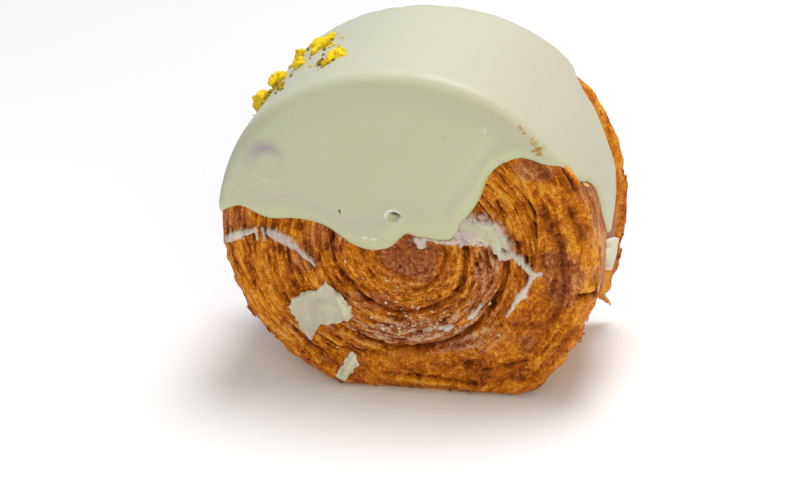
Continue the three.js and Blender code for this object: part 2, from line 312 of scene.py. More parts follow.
def skin(angle, along):
    """Points of the smooth skin."""
    behind = skin_profile(along)[0]
    back = behind / WIDTH
    radius = skin_radius(angle, along)
    x = radius * np.cos(angle) + BACK_SHIFT[0] * back
    z = radius * np.sin(angle) + BACK_SHIFT[1] * back + CENTRE_HEIGHT
    return np.stack(np.broadcast_arrays(x, behind - WIDTH / 2, z), -1)


def outward(angle, along):
    """Directions straight out of the smooth skin."""
    step = 0.02
    place = np.clip(along, 2 * step, SKIN_LENGTH - 2 * step)
    over = skin(angle, place + step) - skin(angle, place - step)
    around = skin(angle + step, place) - skin(angle - step, place)
    normal = np.cross(over, around)
    return normal / np.linalg.norm(normal, axis=-1, keepdims=True)


def raised(angle, along, height):
    """Points at a height over the smooth skin."""
    return skin(angle, along) + outward(angle, along) * np.asarray(height)[..., None]


def unwound(angle):
    """Angles from a turn below the top to the top, so that the cut lies under the icing."""
    return np.where(angle > math.pi / 2, angle - 2 * math.pi, angle)


# The crust's relief and browning, by x and z from the middle of the front face

PITS = (
    # x and z, half width, half height, depth
    (14.8, -33.8, 2.4, 1.1, 1.4),
    (45.4, 13.0, 1.5, 2.3, 2.0),
    (47.0, 9.0, 0.7, 2.2, 0.9),
    (27.5, -33.5, 1.8, 0.8, 0.7),
    (35.5, 19.5, 0.7, 2.2, 0.6),
)
CRACKS = (
    # from, to, width, depth
    ((42.2, 27.0), (46.6, 20.6), 0.6, 1.6),
    ((46.6, 20.6), (45.4, 15.5), 0.45, 0.9),
    ((48.0, -9.8), (51.0, -14.0), 0.7, 1.6),
    ((33.0, 18.6), (35.0, 12.6), 0.35, 0.8),
    ((35.0, 12.6), (35.4, 4.0), 0.3, 0.6),
    ((-7.0, -38.2), (6.0, -38.6), 0.45, 1.2),
    ((6.0, -38.6), (18.0, -40.0), 0.5, 1.3),
    ((20.0, -35.5), (33.0, -31.5), 0.4, 0.5),
)
RIDGES = (
    # path of a torn edge that stands up, its half width, its height
    (((42.8, 26.4), (44.6, 23.4), (46.8, 20.8), (49.6, 21.4)), 0.7, 1.1),
    (((29.6, 26.0), (31.7, 23.3), (33.5, 19.9), (35.6, 13.1), (36.2, 5.7), (35.6, -2.6)), 0.55, 0.9),
    (((47.4, 17.0), (48.2, 13.6), (48.6, 9.6)), 0.45, 0.6),
    (((49.4, -7.0), (51.6, -10.0), (51.4, -13.0)), 0.9, 1.2),
    (((-8.0, -39.2), (2.0, -39.8), (12.0, -40.4), (20.0, -41.2)), 0.9, 0.9),
)
SMEARS = (
    # knots of a thin film of icing as x, z and half width,
    # then its thickness and how torn its edge is, from 0 to 1
    (((-50.6, -0.6, 1.0), (-47.5, 0.9, 1.3), (-44.0, 2.2, 1.2), (-41.8, 2.8, 0.7)), 0.84, 0.15),
    (((-40.8, 3.6, 0.5), (-40.4, 0.4, 0.35)), 0.8, 0.2),
    (((-38.9, 3.6, 0.5), (-38.4, 0.2, 0.4)), 0.8, 0.2),
    (((-36.8, 2.4, 1.2), (-34.8, 1.6, 1.8), (-32.2, 0.4, 1.8), (-30.2, -1.0, 1.1)), 0.88, 0.15),
    (((-29.6, -1.6, 0.9), (-27.6, -3.6, 0.9), (-25.0, -6.4, 0.4)), 0.84, 0.2),
    (((16.6, 8.0, 2.6), (20.6, 7.0, 3.6), (24.0, 5.0, 3.4), (27.0, 2.4, 1.8)), 0.95, 0.35),
    (((21.6, 5.0, 1.0), (23.6, 3.4, 1.2)), 1.0, 0.2),
    (((25.2, 1.0, 1.2), (26.6, -0.8, 1.5), (28.8, 0.4, 0.9)), 0.95, 0.6),
    (((29.2, 0.2, 0.3), (31.0, -1.4, 1.2), (32.6, -3.6, 0.8), (34.0, -5.6, 0.8), (37.0, -4.6, 0.5)),
     0.95, 0.7),
    (((34.0, -5.6, 0.6), (33.2, -8.6, 0.55), (31.6, -11.4, 1.1), (29.6, -13.8, 0.6), (27.0, -18.4, 0.35)),
     0.85, 0.6),
    (((13.6, 5.4, 1.6), (16.4, 5.2, 2.0), (19.0, 4.6, 1.8)), 0.9, 0.3),
    (((3.2, 3.2, 0.8), (4.4, 1.4, 1.1), (5.4, 3.0, 0.8)), 0.9, 0.5),
    (((6.4, 3.2, 0.5), (9.5, 2.9, 0.8), (13.0, 3.0, 1.2), (16.0, 2.8, 1.0), (19.5, 3.4, 1.4)), 0.75, 1.0),
    (((20.2, -15.6, 0.6), (18.4, -18.2, 1.0), (16.6, -20.0, 0.6)), 0.7, 0.9),
    (((12.4, -22.6, 0.6), (10.4, -23.4, 1.1), (8.8, -23.2, 0.6)), 0.7, 0.9),
)
FILM_THICKNESS = 0.25
FILM_FILL = 0.9
TINTS = (
    # x and z, half width and half height of a patch with a ragged edge, change of tone, share of plum brown
    (1, -2, 9, 7, -0.3, 0.8),
    (-10, -17, 9, 3.4, -0.05, 0.6),
    (4, -26, 20, 4, -0.08, 0.75),
    (22, -6, 3.5, 13, -0.04, 0.6),
    (43, -4, 6, 12, -0.28, 0.75),
    (35.5, 25, 5.5, 3.0, -0.08, 0.8),
    (39, 20.4, 5, 1.5, 0.3, 0.0),
    (31, 19, 7, 5, 0.6, 0.0),
    (28, 11, 5, 8, 0.2, 0.0),
    (-29, -4, 5, 7, -0.1, 0.55),
    (-46, 6, 5, 4, -0.1, 0.5),
    (-22, 2, 5, 4, -0.08, 0.5),
    (30, -18, 8, 6, 0.1, 0.0),
    (-22, -34, 9, 6, 0.16, 0.0),
    (31, 13, 5, 9, 0.14, 0.0),
    (0, -13, 14, 4, 0.1, 0.0),
    (-40, -22, 7, 9, 0.12, 0.0),
    (-42, -8, 8, 10, 0.1, 0.0),
    (40, 18, 5, 6, 0.1, 0.0),
    (14, -37, 16, 3, -0.12, 0.0),
)
FROST = (
    # x and z, half width and half height of a patch with flecks of icing, how many there are from 0 to 1
    (2, -25.5, 18, 4.0, 1.0),
    (22, -8, 4.5, 12, 0.45),
    (17, -20, 5, 4, 0.8),
    (3, -9, 8, 4, 0.25),
    (-33, -27, 5, 4, 0.3),
)


def spot(x, z, px, pz, half_width, half_height):
    """Distance from a mark's middle, 1 at its edge."""
    return np.hypot((x - px) / half_width, (z - pz) / half_height)


def to_stretch(x, z, start, end):
    """Distance from a straight stretch, and the share of it that lies before the nearest place."""
    dx, dz = end[0] - start[0], end[1] - start[1]
    share = np.clip(((x - start[0]) * dx + (z - start[1]) * dz) / (dx * dx + dz * dz), 0, 1)
    return np.hypot(x - start[0] - share * dx, z - start[1] - share * dz), share


def path_distance(x, z, path):
    return np.min([to_stretch(x, z, a, b)[0] for a, b in zip(path, path[1:])], axis=0)


def knot_distance(x, z, knots):
    """Distance from a path over its half width there, for knots of x, z and half width."""
    far = []
    for start, end in zip(knots, knots[1:]):
        distance, share = to_stretch(x, z, start, end)
        far.append(distance / (start[2] + share * (end[2] - start[2])))
    return np.min(far, axis=0)


def smooth_share(turn, radius):
    """0 on the flaky turns and 1 on the smooth outer skin."""
    rise = FOLD_RISE * smooth_step(turn, math.radians(-45), math.radians(45))
    end = FOLD_END * smooth_step(-turn, math.radians(95), math.radians(150))
    wander = 2 * swing(41, 1, turn * 6, radius / 9)
    fold = FOLD_RADIUS + rise + end + wander
    return smooth_step(radius, fold - FOLD_SOFT, fold + FOLD_SOFT)


def about_spiral(x, z):
    """Angle and radius about the spiral's own middle."""
    x, z = x - SPIRAL_MIDDLE[0], z - SPIRAL_MIDDLE[1]
    return unwound(np.arctan2(z, x)), np.maximum(np.hypot(x, z), 0.3)


def spiral_root(turn, radius):
    """Radius at which the sheet of dough through a place starts, at angle 0."""
    wander = 1 + 0.008 * np.sin(3 * turn + radius / 5) + 0.006 * np.sin(radius / 2.3 - 5 * turn)
    return radius * SPIRAL_GROWTH ** (turn / (2 * math.pi)) * wander


def sheets(place, run, length, seed):
    """Height from 0 to 1 of sheets, one to each whole number, that end and start again along their run."""
    place = place + 1.2 * swing(seed, 1, run / (2 * length), place / 3)
    sheet = np.floor(place)
    here, after = (crisp_noise(seed + 1, 1, run / length, SHEET_APART * i) for i in (sheet, sheet + 1))
    return here + (after - here) * smooth_step(place - sheet, 0.55, 1.0)


def flaky_relief(x, z, turn, radius, seed):
    """Depth and browning of the rolled layers, seen end on, with crumbs along them, and their slits, which
    get painted shade.
    """
    run = turn * RUN_RADIUS
    root = spiral_root(turn, radius) + LAYER_WANDER * swing(seed + 12, 2, x / 3, z / 3)
    outer = smooth_step(radius, 24, 32)
    crumb = (0.35 + 0.65 * outer) * (crisp_noise(seed + 14, 3, x / 1.8, z / 1.8) - 0.5)
    depth, tone, shares = -0.4 * crumb, 0.4 * crumb, []
    for i, (thickness, length, deep, brown, start, full, more) in enumerate(LAYERS):
        sheet = sheets(root / thickness, run, length, seed + 3 * i)
        shares.append(smooth_step(radius, start, full) * (1 + more * outer))
        depth = depth + deep * (1 - sheet) * shares[i]
        tone = tone + brown * (sheet - 0.5) * shares[i]
    slit = shares[1] * smooth_step(noise_on(seed + 18, run / 4, root / 1.1), 0.8, 0.92)
    return depth + 0.8 * slit, tone, slit


def skin_relief(x, z, turn, radius, seed):
    """Depth and browning of the smooth outer skin: peeled layers, blisters, creases and wrinkles."""
    blisters = crisp_noise(seed, 3, x / 6, z / 6, low=0.32)
    creases = smooth_step(np.abs(2 * swing(seed + 4, 3, x / 4.5, z / 4.5)), 0.0, 0.22)
    wrinkles = crisp_noise(seed + 8, 3, radius / 1.3, turn * radius / 8, low=0.32) - 0.5
    levels = 7 * rough_noise(seed + 12, 4, x / 9, z / 9)
    peel = smooth_step(levels - np.floor(levels), 0.75, 1.0)
    outer = smooth_step(radius, 36, 44)
    depth = 0.4 * (0.5 - blisters) + 0.4 * (0.6 - creases) + 0.35 * peel - 0.6 * outer * wrinkles
    tone = 0.35 * (blisters - 0.5) + 0.4 * (creases - 0.7) + 0.3 * (peel - 0.2) + 0.6 * outer * wrinkles
    return depth, tone


def spiral_groove(turn, radius, seed):
    """How far a place lies in the groove between two turns, on the groove's edge, where a highlight is
    painted, and off the dome of a turn.
    """
    turns = np.log(spiral_root(turn, radius) / SPIRAL_START) / math.log(SPIRAL_GROWTH)
    share = turns - np.floor(turns)
    inner = radius / SPIRAL_GROWTH ** share
    distance = np.minimum(radius - inner, inner * SPIRAL_GROWTH - radius)
    faded = 1 - 0.75 * smooth_step(radius, 24, 30) * smooth_step(-np.cos(turn), 0.3, 0.8)
    strength = 0.3 + 0.9 * noise_on(seed, turn * radius / 10, turns)
    strength = strength * faded * smooth_step(radius, 0, SPIRAL_EYE)
    groove = strength * hump(distance, GROOVE_WIDTH)
    # The edge beside the groove, where a highlight is painted
    edge = strength * hump(radius - inner - GROOVE_LIP, 0.5)
    return groove, edge, strength * (1 - np.sin(math.pi * share) ** 0.6)


def relief_at_turn(x, z, turn, radius, seed):
    """Depth of a face below the smooth skin, its browning with painted highlights along the grooves' edges,
    the painted shade in its crevices and how flaky it is.
    """
    groove, edge, dome = spiral_groove(turn, radius, seed + 2)
    flaky = 1 - smooth_share(unwound(np.arctan2(z, x)), np.hypot(x, z))
    layer_depth, layer_tone, slit = flaky_relief(x, z, turn, radius, seed + 10)
    skin_depth, skin_tone = skin_relief(x, z, turn, radius, seed + 30)
    depth = GROOVE_DEPTH * groove * (0.25 + 0.75 * flaky)
    depth = depth + flaky * (FOLD_STEP + DOME_HEIGHT * dome + layer_depth) + (1 - flaky) * skin_depth
    # Painted shade: the grooves, the deepest sheets and the slits are darkened
    crevice_shade = 1.1 * groove + 0.6 * flaky * (smooth_step(layer_depth, 0.9, 1.9) + slit)
    # Painted highlight along the outer edge of each groove
    tone = flaky * (layer_tone + 0.3 * edge) + (1 - flaky) * skin_tone
    return depth, tone, np.clip(crevice_shade, 0, 1) * (0.3 + 0.7 * flaky), flaky


def face_relief(x, z, seed):
    """The relief of a face, faded into that of the next turn where the angle starts again."""
    turn, radius = about_spiral(x, z)
    share = smooth_step(turn, math.pi / 2 - SEAM_FADE, math.pi / 2)
    here = relief_at_turn(x, z, turn, radius, seed)
    beyond = relief_at_turn(x, z, turn - 2 * math.pi, radius, seed)
    return [first + (second - first) * share for first, second in zip(here, beyond)]


def front_marks(x, z):
    """Depth of the pits, cracks and torn ridges on the front face, the painted shade in the pits and cracks,
    and the ridges' light edges.
    """
    depth, dark, light = np.zeros_like(x), np.zeros_like(x), np.zeros_like(x)
    ragged = 0.55 + 0.9 * rough_noise(71, 2, x / 1.4, z / 1.4)
    # The pits and cracks are darkened as painted shade
    for *place, pit in PITS:
        hollow = hump(spot(x, z, *place), ragged, 3)
        depth += pit * hollow
        dark = np.maximum(dark, 0.8 * hollow)
    for start, end, width, crack in CRACKS:
        hollow = hump(path_distance(x, z, (start, end)), width * ragged)
        depth += crack * hollow
        dark = np.maximum(dark, 0.85 * hollow)
    for ridge, half_width, height in RIDGES:
        crest = hump(path_distance(x, z, ridge), half_width * ragged)
        depth -= height * crest
        light = np.maximum(light, crest)
    return depth, dark, light


def front_smears(x, z):
    """How far a film of icing covers the front face."""
    cover = np.zeros_like(x)
    broken = swing(81, 3, x / 1.2, z / 1.2)
    for knots, thickness, torn in SMEARS:
        soft = 1.3 - 0.3 * torn
        inside = 1 + soft / 2 - knot_distance(x, z, knots) + 2.4 * torn * broken
        cover = np.maximum(cover, thickness * smooth_step(inside, 0, soft))
    return cover


def front_frost(x, z):
    """Where flecks of icing are caught on the front face."""
    return np.clip(np.sum([amount * hump(spot(x, z, *place), 1) for *place, amount in FROST], axis=0), 0, 1)


def front_tint(x, z):
    """Changes of tone over the front face in patches with ragged edges, and its share of plum brown."""
    ragged = 0.9 * swing(77, 4, x / 6, z / 6)
    tone, plum = np.zeros_like(x), np.zeros_like(x)
    for *place, shift, share in TINTS:
        inside = smooth_step(hump(spot(x, z, *place), 1) + ragged, 0.38, 0.54)
        tone += shift * inside
        plum = np.maximum(plum, share * inside)
    return tone, plum


def rim_relief(angle, behind, seed):
    """Depth and browning of the rim: long wrinkles round the roll and shallow dents."""
    run = angle * RADIUS
    wrinkle = rough_noise(seed, 3, run / 16, behind / 1.6)
    dent = rough_noise(seed + 3, 2, run / 13, behind / 11)
    return 0.9 * (wrinkle - 0.4) + 0.7 * (dent - 0.4), 0.9 * (wrinkle - 0.5) + 0.8 * (dent - 0.5)


def swell(shape, turn, behind):
    """Height of a swell of crust on the rim."""
    height, width, place, stretch = shape
    return height * hump(behind - place, width) * window(np.degrees(turn), *stretch)


def back_crags(turn, behind):
    """Height of the torn lip along the back edge, and its browning."""
    run = turn * RADIUS
    lip = swell(BACK_LIP, turn, behind) + swell(LOW_LIP, turn, behind)
    knobs = window(np.degrees(turn), *KNOBBLY_BACK) * swing(95, 3, run / 3.5, behind / 6)
    ragged = 0.5 + rough_noise(91, 4, run / 9, behind / 12) + 0.4 * knobs
    bark = crisp_noise(93, 4, run / 5, behind / 0.9) - 0.5
    return lip * (ragged + 0.15 * bark), 0.6 * bark * np.minimum(lip, 1.5)


def front_crags(turn, behind, inset):
    """Height of the rough crust along the front edge, and its browning."""
    run = turn * RADIUS
    degrees = np.degrees(turn)
    ragged = rough_noise(97, 3, run / 3, behind / 2.2)
    leaves = sheets(behind / THIN_SHEET, run, 9, 55) - 0.5
    thin_leaves = sheets(behind / FINE_SHEET, run, 5, 57) - 0.5
    swollen = swell(FRONT_SWELL, turn, behind)
    share = smooth_step(swollen, 0.1, 0.8)
    edge = hump(behind - EDGE_ROUND, 2.4) * smooth_step(EDGE_ROUND - inset, -0.5, 1.5)
    crumbs = smooth_step(rough_noise(99, 3, run / 3.2, behind / 2.4), 0.45, 0.75)
    rough = (ragged - 0.45) * (0.7 * window(degrees, *ROUGH_LEFT) + 1.8 * window(degrees, *ROUGH_RIGHT))
    rough = rough + 0.8 * crumbs * window(degrees, *CRUMBLY_FRONT) + 0.9 * window(degrees, *SHARP_FRONT)
    streaks = 0.35 * leaves + 0.3 * thin_leaves + 0.4 * (ragged - 0.5)
    browning = 0.5 * leaves + 0.6 * thin_leaves + 0.4 * (ragged - 0.5)
    height = swollen + swell(SIDE_SWELL, turn, behind) + share * streaks + edge * rough
    return height, browning * np.maximum(share, 0.4 * edge)


def torn_edge(over, stretch, reach):
    """Height of a torn edge of crust, from the distance past the edge, its flake, lighter partly as golden
    crust and partly as painted highlight, and its crack, which gets painted shade.
    """
    light = stretch * smooth_step(over, 0, 0.5) * np.exp(-np.maximum(over, 0) / reach)
    dark = stretch * hump(over + 0.25, 0.35)
    return TEAR_HEIGHT * light - TEAR_DEPTH * dark, light, dark


def tear(turn, along, behind):
    """Heights of the tear beside the icing and the one lower down, their flakes, lighter partly as golden
    crust and partly as painted highlight, and their cracks, which get painted shade.
    """
    degrees = np.degrees(turn)
    ragged = swing(111, 4, turn * RADIUS / 2.2, behind / 2.2)
    over = behind - np.interp(degrees, TEAR_DEGREES, TEAR_BEHIND) + 0.9 * ragged
    high = torn_edge(over, window(degrees, *TEAR_STRETCH), TEAR_REACH)
    over = RADIUS * (turn - math.radians(LOW_TEAR)) + 2.5 * ragged
    low = torn_edge(over / 1.6, window(along, *LOW_TEAR_STRETCH), LOW_TEAR_REACH)
    return high[0] + low[0], np.maximum(high[1], low[1]), np.maximum(high[2], low[2])


def edge_crust(turn, along, behind, inset):
    """Height and browning of both rough edges, and the front tears' flakes, lighter partly as golden crust
    and partly as painted highlight, and their cracks, darkened as painted shade.
    """
    front = along < SKIN_LENGTH / 2
    crags, crag_tone = front_crags(turn, behind, inset)
    torn, torn_tone = back_crags(turn, behind)
    height, light, dark = tear(turn, along, behind)
    lip = np.where(front, crags + height, torn)
    # The tears' flakes are lighter, partly golden crust and partly painted highlight; their cracks are
    # painted shade
    tone = np.where(front, crag_tone + 1.1 * light - dark, torn_tone)
    return lip, tone, np.where(front, light, 0), np.where(front, dark, 0)


def face_crust(x, z, front):
    """Depth of a face below the smooth skin, and its looks by name; only the front has marks and films."""
    depth, tone, crevice_shade, flaky = face_relief(x, z, FACE_SEED)
    marks, dark, light = (np.where(front, mark, 0) for mark in front_marks(x, z))
    shift, plum = front_tint(x, z)
    film = np.where(front, front_smears(x, z), 0)
    looks = {
        "tone": tone + np.where(front, shift, 0) + 0.5 * light,
        "plum": np.where(front, plum, BACK_PLUM),
        # Painted shade in the crevices, pits and cracks
        "crevice_shade": np.maximum(crevice_shade, dark),
        "smear": film,
        "frost": np.where(front, front_frost(x, z), 0),
        "flaky": flaky,
    }
    return (depth + marks) * (1 - FILM_FILL * film) - FILM_THICKNESS * film, looks


def rim_plum(turn, behind, lip):
    """Share of plum brown on the rim, which is golden on the back lip and at the front edge."""
    beside_icing = 0.5 * window(behind, *PLUM_BEHIND) * window(np.degrees(turn), *PLUM_DEGREES)
    further = 0.35 * window(behind, *FAR_PLUM_BEHIND) * (1 - smooth_step(lip, 0.2, 1.2))
    return np.maximum(further, beside_icing)


def crust(angle, along):
    """Height above the smooth skin, and the crust's looks there by name."""
    behind, inset, _ = skin_profile(along)
    turn = unwound(angle)
    radius = skin_radius(angle, along)
    face_depth, looks = face_crust(radius * np.cos(turn), radius * np.sin(turn), along < SKIN_LENGTH / 2)
    rim_depth, rim_tone = rim_relief(angle, behind, RIM_SEED)
    lip, lip_tone, light, dark = edge_crust(turn, along, behind, inset)
    blend = smooth_step(inset / EDGE_ROUND, 0.0, 0.6)
    calm = 1 - LEFT_CALM * smooth_step(radius, *LEFT_CALM_RADII) * smooth_step(-np.cos(turn), 0.2, 0.7)
    height = lip - calm * (blend * face_depth + (1 - blend) * rim_depth)
    looks = {name: blend * look for name, look in looks.items()}
    golden = EDGE_GOLD * smooth_step(radius, *EDGE_GOLD_RADII) + 0.06 * lip + lip_tone
    looks["tone"] = looks["tone"] + (1 - blend) * rim_tone + golden
    looks["plum"] = (looks["plum"] + (1 - blend) * rim_plum(turn, behind, lip)) * (1 - light)
    # Painted shade in the tears' cracks
    looks["crevice_shade"] = np.maximum(looks["crevice_shade"], 0.9 * dark)
    looks["flaky"] = looks["flaky"] * smooth_step(radius, *FLAKY_RADII)
    above_floor = smooth_step(skin(angle, along)[..., 2], 0.2, 3.0)
    return height * above_floor, looks


def crust_grain(angle, along):
    """Coordinates across and along the rolled layers, for their finest lines."""
    behind = skin_profile(along)[0] / 1.2
    radius = skin_radius(angle, along)
    turn, spiral_radius = about_spiral(radius * np.cos(angle), radius * np.sin(angle))
    run = RUN_RADIUS / 5
    front = np.stack([spiral_root(turn, spiral_radius) / 1.1, turn * run, behind], -1)
    back = np.stack([spiral_radius / 1.1, run * np.cos(turn), run * np.sin(turn) + behind], -1)
    return np.where((along < BACK_START)[..., None], front, back)


def spread(stretches):
    """Places along stretches, each given by its end and its number of steps; the last end is left out."""
    places, start = [], 0.0
    for end, count in stretches:
        places.append(start + (end - start) * np.arange(1, count + 1) / count)
        start = end
    return np.concatenate(places)[:-1]


def crust_angles():
    """Angles round the roll, close together where the crust shows and wide apart under the icing."""
    first, last = SHOWN_DEGREES
    shown = np.linspace(first, last, SHOWN_STEPS, endpoint=False)
    hidden = np.linspace(last, first + 360, HIDDEN_STEPS, endpoint=False)
    return np.radians(np.concatenate([shown, hidden]))


def mesh_object(name, points, faces):
    """An object from points in millimetres and faces."""
    mesh = bpy.data.meshes.new(name)
    mesh.from_pydata((np.asarray(points) * MM).tolist(), [], faces)
    mesh.validate()
    mesh.polygons.foreach_set("use_smooth", np.ones(len(mesh.polygons), bool))
    mesh.update()
    obj = bpy.data.objects.new(name, mesh)
    bpy.context.scene.collection.objects.link(obj)
    return obj


def add_attribute(obj, name, values):
    attribute = obj.data.attributes.new(name, "FLOAT", "POINT")
    attribute.data.foreach_set("value", np.ascontiguousarray(values, np.float32))


def add_vectors(obj, name, values):
    attribute = obj.data.attributes.new(name, "FLOAT_VECTOR", "POINT")
    attribute.data.foreach_set("vector", np.ascontiguousarray(values.ravel(), np.float32))


def make_crust():
    """The closed crust: rings of points round the roll between a point in the middle of each face."""
    along, angle = np.meshgrid(spread(CRUST_RINGS), crust_angles(), indexing="ij")
    height, looks = crust(angle, along)
    poles = raised(np.zeros(2), np.array([0.0, SKIN_LENGTH]), np.full(2, -POLE_DEPTH))
    points = np.concatenate([poles, raised(angle, along, height).reshape(-1, 3)])
    points[:, 2] = np.maximum(points[:, 2], 0)
    index = 2 + np.arange(along.size).reshape(along.shape)
    after = np.roll(index, -1, axis=1)
    quads = np.stack([index[:-1], index[1:], after[1:], after[:-1]], -1).reshape(-1, 4).tolist()
    front_fan = [[0, int(a), int(b)] for a, b in zip(index[0], after[0])]
    back_fan = [[1, int(b), int(a)] for a, b in zip(index[-1], after[-1])]
    obj = mesh_object("croissant_crust", points, quads + front_fan + back_fan)
    for name, values in looks.items():
        add_attribute(obj, name, np.concatenate([[0, 0], values.ravel()]))
    add_vectors(obj, "grain", np.concatenate([np.zeros((2, 3)), crust_grain(angle, along).reshape(-1, 3)]))
    return obj


# Coats of icing on the skin

def flat(angle, along):
    """The skin laid out flat: the front face in the middle, the rim round it, the back outside."""
    return np.stack([along * np.cos(angle), along * np.sin(angle)], -1)


def on_front(x, z):
    """A place on the front face, laid out flat."""
    angle = math.atan2(z, x)
    return flat(angle, FACE_REACH * math.hypot(x, z) / (rim_radius(angle, 0) - EDGE_ROUND))


def on_rim(degrees, behind):
    """A place on the rim, laid out flat."""
    return flat(math.radians(degrees), RIM_START + behind - EDGE_ROUND)


def unflat(place):
    """Angle and length along the skin of a place laid out flat."""
    angle = np.arctan2(place[..., 1], place[..., 0])
    return np.where(angle < 0, angle + 2 * math.pi, angle), np.linalg.norm(place, axis=-1)


def places_on(part, *places):
    """Places on the flat skin, from those on the front face or on the rim."""
    return np.array([part(*place) for place in places])


def front_knots():
    """The icing's near edge: up the left of the rim, along the drips, to the right of the front."""
    left = places_on(on_rim, (188, 41), (183, 26), (177, 13), (173.5, 4.5))
    drips = places_on(
        on_front, (-45.5, 10.3), (-37, 7.1), (-29, 7.2), (-21.5, 5.6), (-14, 0.4), (-8.5, -1), (-3.5, 0.4),
        (0.5, 4.3), (5, 3.4), (12.5, 3.2), (16, 8.5), (20.5, 15.5), (24, 23.5), (31, 28.3), (38, 26.8),
    )
    return np.concatenate([left, drips, places_on(on_rim, (29.5, 3.4))])


def tongue_knots():
    """Both edges of the tongue of icing down the right of the rim, from its root to its tip."""
    near = places_on(
        on_rim, (29.5, 3.4), (25.5, 4.8), (21, 9.6), (18, 14.8), (12.5, 18.8), (5, 20), (-2, 20), (-5.2, 24.6)
    )
    far = places_on(
        on_rim, (43, 44.6), (40.5, 42.4), (36, 40.6), (31, 40.4), (26.8, 39.8), (19, 39.2), (10, 39.6),
        (3, 36.6), (-2.6, 31.5), (-5.2, 24.6),
    )
    return near, far


def curve_through(knots):
    """Points on a smooth curve through the knots."""
    ends = np.concatenate([knots[:1], knots, knots[-1:]])
    t = np.linspace(0, 1, KNOT_STEPS, endpoint=False)[:, None]
    stretches = []
    for a, b, c, d in zip(ends, ends[1:], ends[2:], ends[3:]):
        pull_b, pull_c = (c - a) / 2, (d - b) / 2
        cubic = 2 * b - 2 * c + pull_b + pull_c
        square = -3 * b + 3 * c - 2 * pull_b - pull_c
        stretches.append(cubic * t ** 3 + square * t ** 2 + pull_b * t + b)
    return np.concatenate(stretches + [knots[-1:]])


def by_length(points):
    """A function from a share of a line's length to the point there."""
    steps = np.linalg.norm(np.diff(points, axis=0), axis=1)
    length = np.concatenate([[0], np.cumsum(steps)])
    return lambda s: np.stack([np.interp(s * length[-1], length, points[:, i]) for i in range(2)], -1)


def back_edge(start, end):
    """A wavy line across the back face, from the left of the rim to the right."""
    (start_angle, start_along), (end_angle, end_along) = unflat(start), unflat(end)

    def edge(s):
        middle = np.sin(math.pi * s)
        angle = end_angle + (start_angle - end_angle) * (1 - s) ** BACK_FAN
        along = start_along + (end_along - start_along) * s
        wave = BACK_WAVE * middle * np.sin(BACK_WAVES * angle)
        return flat(angle, along + BACK_COVER * middle ** 0.8 + wave)

    return edge


def in_turn(first, second):
    """An edge that follows one line down to the tongue's root and another from there on."""
    def edge(s):
        before = np.clip(s / TONGUE_SHARE, 0, 1)
        after = np.clip((s - TONGUE_SHARE) / (1 - TONGUE_SHARE), 0, 1)
        return np.where((s < TONGUE_SHARE)[..., None], first(before), second(after))

    return edge


def icing_edges():
    """The icing's near edge, and its far edge over the back face and up the tongue."""
    front = front_knots()
    near_tongue, far_tongue = tongue_knots()
    near = curve_through(np.concatenate([front, near_tongue[1:]]))
    root = KNOT_STEPS * (len(front) - 1)
    near_edge = in_turn(by_length(near[:root + 1]), by_length(near[root:]))
    far_edge = in_turn(back_edge(front[0], far_tongue[0]), by_length(curve_through(far_tongue)))
    return near_edge, far_edge


def lens_grid(lower, upper, s, edge, columns):
    """Places on a grid between two edges that meet at both ends, and their distance from an edge."""
    start, end = lower(s), upper(s)
    length = np.linalg.norm(end - start, axis=-1)[:, None]
    t_near = edge / np.maximum(length, 4 * edge[-1])
    t_far = 1 - t_near[:, ::-1]
    middle = spread(columns) / columns[-1][0]
    t_middle = t_near[:, -1:] + (t_far[:, :1] - t_near[:, -1:]) * middle
    t = np.concatenate([t_near, t_middle, t_far], axis=1)
    places = start[:, None] + (end - start)[:, None] * t[..., None]
    return places, length * np.minimum(t, 1 - t)


def under_columns(columns):
    """Columns of a coat's grid that its underside keeps: both edges, and every eighth between them."""
    return np.concatenate([[0, 3], np.arange(8, columns - 8, 8), [columns - 4, columns - 1]])


def grid_faces(grid, flip):
    """Quads of a grid of point numbers, closed by triangles to the coat's two end points, 0 and 1."""
    quads = np.stack([grid[:-1, :-1], grid[1:, :-1], grid[1:, 1:], grid[:-1, 1:]], -1).reshape(-1, 4)
    start = np.stack([np.zeros(grid.shape[1] - 1, int), grid[0, :-1], grid[0, 1:]], -1)
    end = np.stack([np.ones(grid.shape[1] - 1, int), grid[-1, 1:], grid[-1, :-1]], -1)
    faces = []
    for part in (quads, start, end):
        faces += (part[:, ::-1] if flip else part).tolist()
    return faces


def lens_faces(rows, columns):
    """Faces of a closed coat: a top grid, an underside that shares its two edges, and two end points.
    Points are numbered: start, end, top grid, then the underside without its edges."""
    top = 2 + np.arange(rows * columns).reshape(rows, columns)
    inner = len(under_columns(columns)) - 2
    below = 2 + rows * columns + np.arange(rows * inner).reshape(rows, inner)
    under = np.concatenate([top[:, :1], below, top[:, -1:]], axis=1)
    return grid_faces(top, False) + grid_faces(under, True)


def coat_object(name, grid, top, under, ends):
    """A closed coat from heights on a lens grid, with its two end points."""
    angle, along = unflat(grid)
    top_points = raised(angle, along, top)
    under_points = raised(angle, along, under)[:, under_columns(grid.shape[1])[1:-1]]
    end_points = raised(*unflat(ends), np.zeros(2))
    points = np.concatenate([end_points, top_points.reshape(-1, 3), under_points.reshape(-1, 3)])
    return mesh_object(name, points, lens_faces(*grid.shape[:2]))


def coat_attribute(obj, name, values):
    """Gives a coat's points a value; its ends have none and its underside has the top's."""
    below = values[:, under_columns(values.shape[1])[1:-1]]
    add_attribute(obj, name, np.concatenate([[0, 0], values.ravel(), below.ravel()]))


